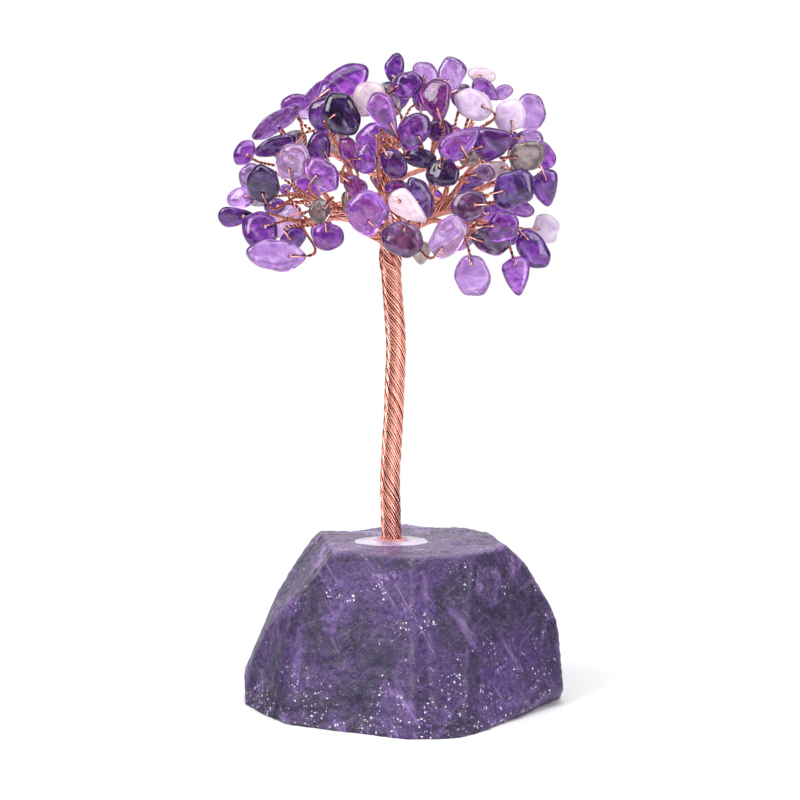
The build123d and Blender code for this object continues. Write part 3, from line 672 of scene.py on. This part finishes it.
def new_material(name):
    material = bpy.data.materials.new(name)
    material.use_nodes = True
    tree = material.node_tree
    tree.nodes.clear()
    shader = node_of(tree, "ShaderNodeBsdfPrincipled")
    out = node_of(tree, "ShaderNodeOutputMaterial")
    tree.links.new(shader.outputs[0], out.inputs["Surface"])
    return material, tree, shader


def read_value(tree, name, kind="Fac"):
    return node_of(tree, "ShaderNodeAttribute", attribute_name=name).outputs[kind]


def in_millimetres(tree):
    """Places on the object, in millimetres."""
    node = node_of(tree, "ShaderNodeVectorMath", operation="SCALE")
    place = node_of(tree, "ShaderNodeTexCoord").outputs["Object"]
    feed_all(tree, node, {0: place, "Scale": per_metre})
    return node.outputs[0]


def build_amethyst_group():
    """Colour zones, pale veils, dark threads and fine wear of a polished amethyst."""
    tree, given, result = new_group(
        "amethyst_body",
        {"Tone": "Color", "Deep": "Color", "Veils": "Float", "Seed": "Float"},
        {"Colour": "Color", "Roughness": "Float", "Normal": "Vector"},
    )
    shifted = node_of(tree, "ShaderNodeVectorMath", operation="MULTIPLY_ADD")
    place = node_of(tree, "ShaderNodeTexCoord").outputs["Object"]
    feed_all(tree, shifted, {0: place, 1: [per_metre] * 3, 2: given["Seed"]})
    where = shifted.outputs[0]
    zones = patches_of(tree, where, (0.36, 0.64), 0.28, 3, 0.6, 1.2)
    colour = blend_of(tree, zones, given["Deep"], given["Tone"])
    bands = node_of(tree, "ShaderNodeTexWave", wave_type="BANDS", bands_direction="DIAGONAL")
    values = {"Vector": where, "Scale": 0.16, "Distortion": 7.0, "Detail": 3.0, "Detail Scale": 0.6}
    feed_all(tree, bands, values)
    feather = range_of(tree, bands.outputs["Fac"], (0.62, 0.97))
    broken = patches_of(tree, where, (0.4, 0.65), 0.5, 5, 0.7)
    veil = times(tree, times(tree, feather, given["Veils"]), broken)
    pale = blend_of(tree, 0.55, given["Tone"], (0.93, 0.88, 0.96))
    colour = blend_of(tree, veil, colour, pale)
    cracks = node_of(tree, "ShaderNodeTexVoronoi", feature="DISTANCE_TO_EDGE")
    feed_all(tree, cracks, {"Vector": where, "Scale": 0.33})
    thread = range_of(tree, cracks.outputs["Distance"], (0.0, 0.05), onto=(0.1, 0.0))
    feed(tree, result["Colour"], blend_of(tree, thread, colour, pale))
    feed(tree, result["Roughness"], patches_of(tree, where, (0.35, 0.75), 1.6, 5, 0.65, onto=(0.02, 0.09)))
    dents = noise_of(tree, where, 0.55, 3, 0.5)
    feed(tree, result["Normal"], bump_of(tree, dents, strength=0.2, distance=0.4 * mm))
    return tree


def amethyst_material(name, group, transmission, rim_shade):
    """Polished amethyst, with painted shade towards its rim: the colour turns to the chip's deep tone there,
    where light would pass through more of it.
    """
    material, tree, shader = new_material(name)
    body = node_of(tree, "ShaderNodeGroup", node_tree=group)
    for label, kind in (("Tone", "Color"), ("Deep", "Color"), ("Veils", "Fac"), ("Seed", "Fac")):
        feed(tree, body.inputs[label], read_value(tree, label.lower(), kind))
    # Painted shade at the rim, in the chip's deep tone.
    edge = node_of(tree, "ShaderNodeLayerWeight")
    edge.inputs["Blend"].default_value = 0.35
    rim = range_of(tree, edge.outputs["Facing"], (0.35, 0.95), onto=(0.0, rim_shade))
    colour = blend_of(tree, rim, body.outputs["Colour"], read_value(tree, "deep", "Color"))
    feed(tree, shader.inputs["Base Color"], colour)
    feed(tree, shader.inputs["Roughness"], body.outputs["Roughness"])
    feed(tree, shader.inputs["Normal"], body.outputs["Normal"])
    shader.inputs["IOR"].default_value = 1.54
    shader.inputs["Transmission Weight"].default_value = transmission
    return material


def copper_material():
    """Drawn copper in its own colour along the crown of each wire, with painted shade, dark red, in the gaps
    between wires.
    """
    bright, tarnished, gap = (1.0, 0.47, 0.37), (0.8, 0.376, 0.296), (0.18, 0.008, 0.004)
    material, tree, shader = new_material("copper_wire")
    where = in_millimetres(tree)
    # Painted shade: corners facing into the gaps between wires take the dark red gap colour instead of the
    # copper's own.
    crown = range_of(tree, read_value(tree, "facing"), (0.3, 0.88))
    tarnish = patches_of(tree, where, (0.35, 0.75), 0.5, 5, 0.65)
    colour = blend_of(tree, crown, gap, blend_of(tree, tarnish, bright, tarnished))
    wear = patches_of(tree, where, (0.3, 0.75), 2.2, 5, 0.7, onto=(0.1, 0.22))
    feed_all(tree, shader, {"Base Color": colour, "Metallic": 1.0, "Roughness": wear})
    return material


def glue_material():
    """Cured glue: milky patches, with a painted reflection of the copper wires in patches on the collar
    against them.
    """
    dull, milky, copper_reflection_tint = (0.33, 0.25, 0.43), (0.62, 0.54, 0.69), (0.55, 0.15, 0.09)
    material, tree, shader = new_material("cured_glue")
    where = in_millimetres(tree)
    patches = noise_of(tree, where, 0.3, 5, 0.6, 0.5)
    colour = blend_of(tree, range_of(tree, patches, (0.36, 0.6)), dull, milky)
    reflection_patches = patches_of(tree, where, (0.4, 0.54), 1.3, 5, 0.7)
    # Painted reflection of the copper wires on the glue collar next to them.
    colour = blend_of(tree, times(tree, read_value(tree, "copper_reflection_share"), reflection_patches), colour, copper_reflection_tint)
    wear = patches_of(tree, where, (0.3, 0.7), 1.2, onto=(0.18, 0.4))
    dents = bump_of(tree, noise_of(tree, where, 0.9, 4, 0.6), strength=0.3, distance=0.2 * mm)
    feed_all(tree, shader, {"Base Color": colour, "Roughness": wear, "Normal": dents})
    return material


def grain_along(tree, where, tilt, sizes):
    """Places turned about the depth by tilt and drawn out by sizes, for streaks that run one way."""
    node = node_of(tree, "ShaderNodeMapping", vector_type="TEXTURE")
    feed_all(tree, node, {"Vector": where, "Rotation": [0, tilt, 0], "Scale": sizes})
    return node.outputs[0]


def cells_of(tree, where, scale):
    """Distance to the nearest of some ragged scattered spots, and two chance values of its cell."""
    ragged = node_of(tree, "ShaderNodeTexNoise")
    feed_all(tree, ragged, {"Vector": where, "Scale": 1.9 * scale})
    warped = node_of(tree, "ShaderNodeVectorMath", operation="MULTIPLY_ADD")
    feed_all(tree, warped, {0: ragged.outputs["Color"], 1: [1.3 / scale] * 3, 2: where})
    cells = node_of(tree, "ShaderNodeTexVoronoi", feature="F1")
    feed_all(tree, cells, {"Vector": warped.outputs[0], "Scale": scale})
    parts = node_of(tree, "ShaderNodeSeparateColor")
    feed(tree, parts.inputs[0], cells.outputs["Color"])
    return cells.outputs["Distance"], parts.outputs[0], parts.outputs[1]


def stone_material():
    """Rough amethyst: dark violet body, lilac streaks running down, dull bloom, paler towards the top, white
    grains, pits with painted shade in them.
    """
    material, tree, shader = new_material("rough_amethyst")
    where = in_millimetres(tree)
    level = node_of(tree, "ShaderNodeSeparateXYZ")
    feed(tree, level.inputs[0], where)
    level = level.outputs["Z"]

    def patches(span, *noise):
        return patches_of(tree, where, span, *noise)

    def laid_over(colour, mask, share, tint):
        return blend_of(tree, times(tree, mask, share), colour, tint)

    clouds = patches((0.38, 0.62), 0.06, 7, 0.65, 0.6)
    colour = blend_of(tree, clouds, (0.008, 0.005, 0.024), (0.048, 0.018, 0.104))
    colour = laid_over(colour, patches((0.4, 0.7), 0.35, 6, 0.7), 0.4, (0.072, 0.038, 0.125))
    moss = patches((0.5, 0.66), 0.085, 6, 0.7)
    colour = laid_over(colour, moss, 0.6, (0.021, 0.014, 0.036))
    haze = patches((0.5, 0.68), 0.1, 7, 0.7, 0.8)
    colour = laid_over(colour, haze, 0.6, (0.16, 0.080, 0.28))
    # Paler towards the top of the block, most on the hazy patches, and a little more over the top face.
    paler_towards_top = times(tree, range_of(tree, level, (27.0, 38.4), onto=(0.0, 0.6)), haze)
    paler_towards_top = plus(tree, paler_towards_top, range_of(tree, level, (37.6, 38.4), onto=(0.0, 0.22)))
    colour = blend_of(tree, paler_towards_top, colour, (0.38, 0.25, 0.48))
    specks = noise_of(tree, where, 1.3, 5, 0.75)
    shade = node_of(tree, "ShaderNodeVectorMath", operation="SCALE")
    feed(tree, shade.inputs[0], colour)
    feed(tree, shade.inputs["Scale"], range_of(tree, specks, (0.38, 0.62), onto=(0.4, 1.75), smooth=False))
    colour = shade.outputs[0]

    parting = patches((0.42, 0.58), 0.05, 3, 0.5)
    down = grain_along(tree, where, 1.0, (24, 12, 1.7))
    strands = noise_of(tree, down, 1.0, 4, 0.6, 0.7)
    streak = times(tree, range_of(tree, strands, (0.58, 0.68)), parting)
    colour = laid_over(colour, streak, 0.38, (0.32, 0.20, 0.44))
    across = grain_along(tree, where, -0.6, (6, 6, 0.8))
    hatching = noise_of(tree, across, 1.0, 4, 0.6, 0.4)
    hatch = times(tree, range_of(tree, hatching, (0.55, 0.7)), maths(tree, "SUBTRACT", 1.0, parting))
    colour = laid_over(colour, hatch, 0.35, (0.20, 0.13, 0.30))
    worn = patches((0.36, 0.6), 0.3, 5, 0.7)
    worn = times(tree, read_value(tree, "ridge"), worn)
    colour = laid_over(colour, worn, 0.35, (0.30, 0.22, 0.38))

    distance, first, second = cells_of(tree, where, 1.5)
    low = range_of(tree, level, (5.0, 18.0), onto=(0.09, 0.0))
    spread = noise_of(tree, where, 0.13, 6, 0.75)
    patch = range_of(tree, plus(tree, spread, low), (0.55, 0.6))
    size = range_of(tree, second, (0.0, 1.0), onto=(0.12, 0.44), smooth=False)
    spot = range_of(tree, maths(tree, "SUBTRACT", distance, size), (-0.09, 0.0), onto=(1.0, 0.0))
    grains = times(tree, times(tree, spot, over(tree, first, 0.5)), patch)
    colour = laid_over(colour, grains, 0.9, (0.85, 0.82, 0.90))
    distance, first = cells_of(tree, where, 2.6)[:2]
    dust = range_of(tree, distance, (0.1, 0.26), onto=(0.55, 0.0))
    colour = blend_of(tree, times(tree, dust, over(tree, first, 0.6)), colour, (0.55, 0.49, 0.66))
    rust = times(tree, spot, over(tree, second, 0.998))
    colour = blend_of(tree, rust, colour, (0.55, 0.26, 0.08))
    distance, first = cells_of(tree, where, 0.3)[:2]
    # Painted shade in the small pits, which the bump also dents.
    pit_dent_and_shade = times(tree, range_of(tree, distance, (0.08, 0.15), onto=(1.0, 0.0)), over(tree, first, 0.55))
    colour = laid_over(colour, pit_dent_and_shade, 0.85, (0.012, 0.009, 0.022))
    feed(tree, shader.inputs["Base Color"], colour)

    sheen = patches_of(tree, where, (0.3, 0.7), 0.8, 6, 0.7, onto=(0.3, 0.55))
    sheen = maths(tree, "SUBTRACT", sheen, times(tree, grains, 0.2))
    feed(tree, shader.inputs["Roughness"], sheen)
    shader.inputs["Specular IOR Level"].default_value = 0.35
    fine = times(tree, noise_of(tree, where, 2.4, 4, 0.7), 0.3)
    height = plus(tree, noise_of(tree, where, 0.5, 8, 0.66), fine)
    height = maths(tree, "SUBTRACT", height, times(tree, pit_dent_and_shade, 0.6))
    feed(tree, shader.inputs["Normal"], bump_of(tree, height, strength=0.5, distance=0.5 * mm))
    return material


amethyst_group = build_amethyst_group()
clear_amethyst = amethyst_material("clear_amethyst", amethyst_group, transmission=0.8, rim_shade=0.9)
cloudy_amethyst = amethyst_material("cloudy_amethyst", amethyst_group, transmission=0.4, rim_shade=0.35)
copper = copper_material()
glue_look = glue_material()
stone_look = stone_material()


def tones_of(sprig, found):
    """The tone of each chip of a sprig: in front the one seen nearest to it, at the back by chance."""
    if sprig not in chip_places:
        return [back_tones[int(chance.integers(len(back_tones)))] for _ in found]
    places = chip_places[sprig]
    seen = np.array([(p.centre[0], -p.centre[2]) for p in found]) / mm / photo_scale
    seen = seen + (photo_axis, photo_foot)
    asked = np.array([(x, y) for tone, x, y in places])
    order = min(
        itertools.permutations(range(len(places)), len(found)),
        key=lambda picks: np.linalg.norm(seen - asked[list(picks)], axis=1).sum(),
    )
    return [places[k][0] for k in order]


# Crown
pebbles = {}
for node in sorted(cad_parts):
    if not node.endswith("_chips"):
        continue
    sprig = node[: -len("_chips")]
    found = [Pebble(*solid) for solid in loose_pieces(node)]
    pebbles[sprig] = found
    chosen = tones_of(sprig, found)
    parts = [pebble.surface() for pebble in found]
    values = {"tone": [], "deep": [], "veils": [], "seed": []}
    for (corners, faces), tone in zip(parts, chosen):
        body, deep, veils = tones[tone]
        shade = chance.uniform(*shade_shares)
        for label, colour in (("tone", body), ("deep", deep)):
            values[label].append(np.tile([min(1, c * shade) for c in colour] + [1], (len(corners), 1)))
        values["veils"].append(np.full(len(corners), veils))
        values["seed"].append(np.full(len(corners), chance.uniform(0, last_seed)))
    layers = {label: np.concatenate(value) for label, value in values.items()}
    piece = make_piece(f"{sprig}_stones", parts, clear_amethyst, node, layers)
    piece.data.materials.append(cloudy_amethyst)
    looks = [tone in cloudy_tones for tone, (corners, faces) in zip(chosen, parts) for _ in faces]
    piece.data.polygons.foreach_set("material_index", np.array(looks, np.int32))


def chip_wire(route, stem, own_pebbles):
    """A wire folded through its chip's hole, its two legs twisted together down to the stem."""
    middles = (route[:-1] + route[1:]) / 2
    gaps = np.array([[np.linalg.norm(m - p.hole) for p in own_pebbles] for m in middles])
    at, which = np.unravel_index(np.argmin(gaps), gaps.shape)
    pebble = own_pebbles[which]
    first, second = route[: at - 1], route[at + 3 :][::-1]
    hook = route[at - 1 : at + 3]
    hugged = []
    for point in hook:
        away = point - pebble.hole
        far = np.linalg.norm(away)
        near = pebble.reach((away / far)[None])[0] + wire_radius * chip_wire_room
        hugged.append(pebble.hole + away / far * min(far, near))
    legs = (first + second) / 2
    base, way = stem
    foot = min(base, key=lambda p: np.linalg.norm(p - legs[0]))
    start = foot - way * pair_root + (legs[0] - foot) * pair_root_share
    rim = (hook[0] + hook[-1]) / 2
    run = eased_corners(eased_corners([start, *legs, rim]))[:-1]
    back = smooth_line(run, path_step)[::-1]
    side, other = frames_along(back, first[-1] - second[-1])
    turn = full_turn * run_of(back) / (pair_pitch * chance.uniform(*pair_pitch_shares))
    apart = swung(turn, side, other)[::-1]
    line = back[::-1]
    one = line + apart * pair_half_gap
    two = line - apart * pair_half_gap
    loop = smooth_line([one[-2], one[-1], *hugged, two[-1], two[-2]], path_step)[1:-1]
    round_chip = loop - pebble.hole
    round_chip /= np.linalg.norm(round_chip, axis=1)[:, None]
    whole = np.vstack([one[:-1], loop, two[:-1][::-1]])
    outward = np.vstack([apart[:-1], round_chip, -apart[:-1][::-1]])
    return tube(whole, wire_radius, outward=outward)


def upright_strands(node):
    """The runs of a node's strands, each from its lower end to its upper one."""
    runs = [ring_centres(*solid, sides=4) for solid in loose_pieces(node)]
    return [run if run[0][2] < run[-1][2] else run[::-1] for run in runs]


# Trunk
strands = upright_strands("trunk_wires")
trunk_axis = np.mean(strands, axis=0)
ring = np.mean([np.linalg.norm(strand[0] - trunk_axis[0]) for strand in strands])
trunk_line = smooth_line(trunk_axis, step=0.35 * mm)
fork = trunk_line[-1]
climb = np.linspace(0, 1, len(trunk_line))
tuck = 1 - trunk_tuck * np.clip((climb - (1 - trunk_tuck_share)) / trunk_tuck_share, 0, 1) ** 2
pitch = trunk_foot_pitch - trunk_pitch_fall * climb
ring_radius = (ring + trunk_wire_lift) * tuck
parts = wound(trunk_line, trunk_wires, ring_radius, trunk_wire_radius, pitch, bundles=7, groove=0.26 * mm)
make_wires("trunk_bundle", parts, "trunk_wires")
# The heart faces nought all over, so it shows only the painted gap shade between the wires.
heart = tube(trunk_line, (ring - trunk_heart_sink) * tuck, sides=24)
make_wires("trunk_heart", [heart], "trunk_core")

# Limbs
limb_lines = {}
for node in ("left_limb", "centre_limb", "right_limb", "back_limb"):
    axis = np.mean(upright_strands(node), axis=0)
    foot = axis[0] - fork
    bearing = math.atan2(foot[0], -foot[1])
    deepest = limb_drops[0]
    below = []
    for drop in limb_drops:
        angle = bearing + full_turn * drop / limb_drop_pitch
        reach = np.interp(drop, (0, deepest), (math.hypot(foot[0], foot[1]), limb_gather))
        level = trunk_line[np.argmin(np.abs(trunk_line[:, 2] - (fork[2] - drop * mm)))]
        below.append(level + reach * np.array([math.sin(angle), -math.cos(angle), 0]))
    way = unit(axis[-1] - axis[-2])
    line = smooth_line([*below, *axis[1:], axis[-1] + way * limb_end], limb_step)
    limb_lines[node] = line
    risen = np.clip(np.arange(len(line)) * limb_step / (deepest * mm), 0, 1)
    thin = eased(len(line), share=0.14, low=0.3) * (risen * (1 - limb_foot_share) + limb_foot_share)
    ring_radius = limb_ring * thin
    parts = wound(line, limb_wires, ring_radius, limb_wire_radius, limb_pitch, bundles=3, groove=0.12 * mm)
    # The limb's heart shows only the painted gap shade.
    parts.append(tube(line, limb_heart * thin, sides=12))
    make_wires(f"{node}_wires", parts, node)


def nearest_on_limbs(point):
    """How far a limb is, the nearest place on its line, and the line's direction there."""
    best = None
    for line in limb_lines.values():
        gaps = np.linalg.norm(line - point, axis=1)
        k = int(np.clip(np.argmin(gaps), 1, len(line) - 2))
        if best is None or gaps[k] < best[0]:
            best = (gaps[k], line[k], unit(line[k + 1] - line[k - 1]))
    return best


# Wires of the sprigs
for node in sorted(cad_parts):
    if not node.endswith("_wires") or node == "trunk_wires":
        continue
    sprig = node[: -len("_wires")]
    routes = []
    for solid in loose_pieces(node):
        route = ring_centres(*solid, sides=3)
        if route is not None:
            routes.append(route)
        else:
            stem = ring_centres(*solid, sides=4)
    if nearest_on_limbs(stem[0])[0] > nearest_on_limbs(stem[-1])[0]:
        stem = stem[::-1]
    way = unit(stem[-1] - stem[-2])
    gap, place, along = nearest_on_limbs(stem[0])
    root = place - along * stem_root + (stem[0] - place) * stem_root_share
    line = smooth_line([root, *stem, stem[-1] + way * stem_end], step=0.28 * mm)
    thin = eased(len(line), share=0.2, low=0.3)
    phase = chance.uniform(0, phase_end)
    parts = wound(line, stem_wires, stem_ring * thin, wire_radius, stem_pitch, phase=phase)
    # The stem's heart shows only the painted gap shade.
    parts.append(tube(line, stem_heart * thin))
    base = even_line(stem, step=0.3 * mm)
    for route in routes:
        parts.append(chip_wire(route, (base, way), pebbles[sprig]))
    make_wires(f"{sprig}_twigs", parts, node)


def stone_surface():
    """The cleaved block, worn and chipped inside the CAD block, with its flat foot and its socket."""
    planes = outer_planes(*loose_pieces("base_stone")[0])[0]
    planes = planes[planes[:, 2] > -0.99]
    normals = planes[:, :3]
    offsets = planes[:, 3] * mm - normals @ stone_middle
    waves = []
    for length, depth, count in stone_waves:
        for _ in range(count):
            wave = unit(chance.normal(0, 1, 3)) * full_turn
            wave = wave / (length * mm * chance.uniform(*stone_wave_stretch))
            phase = chance.uniform(0, 6.28)
            waves.append((wave, phase, depth * mm * chance.uniform(*stone_wave_strength) / 2))

    def over_planes(points):
        """Height over the cleaved planes, softened where they meet, and how near a ridge each point is."""
        heights = (points @ normals.T - offsets) / stone_softness
        order = np.argsort(heights, axis=1)
        rows = np.arange(len(points))
        first, second = order[:, -1], order[:, -2]
        from_edge = (heights[rows, first] - heights[rows, second]) * stone_softness
        from_edge /= np.linalg.norm(normals[first] - normals[second], axis=1)
        return soft_top(heights) * stone_softness, np.exp(-from_edge / ridge_width)

    def still(points):
        """Nought where the stone stays flat round the glue, one elsewhere."""
        place = points + stone_middle
        from_axis = np.hypot(place[:, 0], place[:, 1])
        calm = np.clip((from_axis / mm - calm_radius) / calm_fade, 0.0, 1)
        on_top = np.clip((place[:, 2] / mm - calm_level) / calm_rise, 0, 1)
        return 1 - on_top * (1 - calm)

    scoops = []

    def outside(points):
        field = over_planes(points)[0]
        calm = still(points)
        for wave, phase, depth in waves:
            field = field + depth * np.sin(points @ wave + phase) * calm
        field = field + stone_sink * calm
        for place, size in scoops:
            field = np.maximum(field, size - np.linalg.norm(points - place, axis=1))
        return field

    def reach_of(directions):
        return reach_along(outside, directions, limit=80 * mm, rounds=22)

    found = []
    for _ in range(scoop_count):
        way = unit(chance.normal(0, 1, 3) * scoop_spread)
        spot = way * reach_of(way[None])[0]
        size = chance.uniform(*scoop_sizes) * mm
        depth = chance.uniform(*scoop_depths) * mm
        face = normals[np.argmax(normals @ spot - offsets)]
        if still(spot[None])[0] > 0.99 and spot[2] > scoop_floor:
            found.append((spot + face * (size - depth), size))
    scoops.extend(found)

    angles = np.arange(stone_spokes) * full_turn / stone_spokes
    spokes = np.column_stack([np.cos(angles), np.sin(angles), np.zeros(stone_spokes)])
    pole_tilt, mouth_share, floor_share = 0.01, 1.02, 0.3
    tilt = np.linspace(pole_tilt, math.pi - pole_tilt, stone_rings)
    directions = swung(tilt, upright, spokes[:, None]).reshape(-1, 3)
    floor = np.where(directions[:, 2] < 0, stone_middle[2] / np.maximum(-directions[:, 2], 1e-9), 1)
    reach = np.minimum(reach_of(directions), floor)
    points = (directions * reach[:, None]).reshape(stone_spokes, stone_rings, 3)
    out = np.hypot(points[:, :, 0], points[:, :, 1])
    wall = [
        (socket_radius * floor_share, socket_floor),
        (socket_radius, socket_floor),
        (socket_radius, (socket_floor + stone_top) / 2),
        (socket_radius, stone_top - socket_mouth),
    ]
    rings = []
    for k in range(stone_spokes):
        first = np.argmax(out[k] > socket_radius * mouth_share)
        profile = np.column_stack([out[k, first:], points[k, first:, 2] + stone_middle[2]])
        whole = np.vstack([wall, spaced(profile, stone_rings)])
        rings.append(whole[:, :1] * spokes[k] + whole[:, 1:] * upright)
    corners = np.array(rings).reshape(-1, 3)
    count = len(rings[0])
    faces = grid_faces(stone_spokes, count, round_rows=True).tolist()
    faces.append([s * count for s in range(stone_spokes)])
    faces.append([s * count + count - 1 for s in range(stone_spokes)][::-1])
    ridge = over_planes(corners - stone_middle)[1] * still(corners - stone_middle)
    return corners, faces, ridge


# Stone
corners, faces, ridge = stone_surface()
make_piece("rough_base", [(corners, faces)], stone_look, "base_stone", {"ridge": ridge})


def glue_surface():
    """A thin uneven skin of glue on the stone round the trunk's foot, lumpy at the wires, and its sleeve,
    with how much painted copper reflection each corner takes.
    """
    low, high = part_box("glue_patch")
    half_x, half_y = (high.x - low.x) / 2, (high.y - low.y) / 2
    rings, copper_reflection_share = [], []
    wobble = chance.uniform(0, 6.28, 12)
    for k in range(glue_spokes):
        a = full_turn * k / glue_spokes
        edge = sum(math.sin(a * (n + 2) + wobble[n]) / (n + 2) for n in range(10))
        reach = 1 / math.hypot(math.cos(a) / half_x, math.sin(a) / half_y)
        reach *= glue_rim_share + glue_rim_swing * max(-1, min(1, edge))
        swell = sum((rise * math.sin(turns * a + wobble[n]) for rise, turns, n in swell_waves), 1)
        lump = sum((rise * math.sin(turns * a + wobble[n]) for rise, turns, n in lump_waves), 1)
        profile = [
            (bore, low.z),
            (sleeve_radius, low.z),
            (sleeve_radius, stone_top - sleeve_mouth),
            (sleeve_rim, stone_top),
        ]
        profile += [(reach * out, stone_top + rise * mm * swell) for out, rise in glue_skin]
        heat = [0] * len(profile)
        for out, rise, warm in glue_collar:
            out = max(bore * 1.01, out * mm * (0.96 + 0.05 * lump))
            profile.append((out, min(high.z, stone_top + rise * mm * (0.7 + 0.3 * lump))))
            heat.append(warm)
        profile.append((bore, min(high.z, stone_top + collar_top)))
        rings.append([(r * math.cos(a), r * math.sin(a), z) for r, z in profile])
        copper_reflection_share.append([*heat, 1])
    faces = grid_faces(glue_spokes, len(rings[0]), round_rows=True, round_columns=True)[:, [0, 3, 2, 1]]
    return np.array(rings).reshape(-1, 3), faces.tolist(), np.array(copper_reflection_share, float).reshape(-1)


# Glue
corners, faces, copper_reflection_share = glue_surface()
make_piece("glue_skin", [(corners, faces)], glue_look, "glue_patch", {"copper_reflection_share": copper_reflection_share})

# Studio: a white table that turns plain white to the camera away from the stone, so only its shadow shows
table_half = 3
table_fade = (0.07, 0.24)
mesh = bpy.data.meshes.new("table_top")
corners = [(x * table_half, y * table_half, 0) for x, y in ((-1, -1), (1, -1), (1, 1), (-1, 1))]
mesh.from_pydata(corners, [], [(0, 1, 2, 3)])
table_top = placed("table_top", mesh)
material, tree, shader = new_material("white_table")
feed_all(tree, shader, {"Base Color": (0.93, 0.93, 0.935), "Roughness": 0.65})
far = node_of(tree, "ShaderNodeVectorMath", operation="LENGTH")
feed(tree, far.inputs[0], node_of(tree, "ShaderNodeTexCoord").outputs["Object"])
away = range_of(tree, far.outputs["Value"], table_fade)
light = node_of(tree, "ShaderNodeLightPath")
plain = node_of(tree, "ShaderNodeEmission")
plain.inputs["Color"].default_value = (1, 1, 1, 1)
mix = mix_of(tree, times(tree, away, light.outputs["Is Camera Ray"]), shader, plain)
tree.links.new(mix, tree.nodes["Material Output"].inputs["Surface"])
mesh.materials.append(material)

world = bpy.data.worlds.new("studio")
bpy.context.scene.world = world
world.use_nodes = True
tree = world.node_tree
tree.nodes.clear()
light = node_of(tree, "ShaderNodeLightPath")
soft = node_of(tree, "ShaderNodeBackground")
feed_all(tree, soft, {"Color": (0.95, 0.96, 1.0), "Strength": 0.15})
seen = node_of(tree, "ShaderNodeBackground")
feed(tree, seen.inputs["Color"], (1, 1, 1))
out = node_of(tree, "ShaderNodeOutputWorld")
tree.links.new(mix_of(tree, light.outputs["Is Camera Ray"], soft, seen), out.inputs["Surface"])

lamp_target = np.array((0, 0, 0.08))


def lamp(name, place, size, power):
    """A soft box that faces the middle of the ornament."""
    data = bpy.data.lights.new(name, "AREA")
    data.shape = "RECTANGLE"
    data.size, data.size_y = size
    data.energy = power
    body = placed(name, data)
    body.location = place
    way = lamp_target - np.array(place)
    tilt = math.atan2(math.hypot(way[0], way[1]), -way[2])
    body.rotation_euler = (tilt, 0, math.atan2(way[1], way[0]) - math.pi / 2)


lamp("key", place=(-0.6, -0.5, 0.6), size=(0.5, 0.6), power=8.2)
lamp("fill", place=(0.65, -0.4, 0.35), size=(0.35, 0.7), power=3.9)
lamp("top", place=(0.05, -0.3, 0.95), size=(0.9, 0.7), power=6.5)
lamp("back", place=(0.0, 1.1, 0.55), size=(2.2, 1.3), power=10.0)

camera_place = (0.00195, -0.600, 0.139)
camera_tilt = 83.6
eye = bpy.data.cameras.new("front")
eye.lens = 117
eye.sensor_width = 36
camera = placed("front", eye)
camera.location = camera_place
camera.rotation_euler = (math.radians(camera_tilt), 0, 0)
bpy.context.scene.camera = camera
bpy.context.scene.view_settings.view_transform = "Standard"
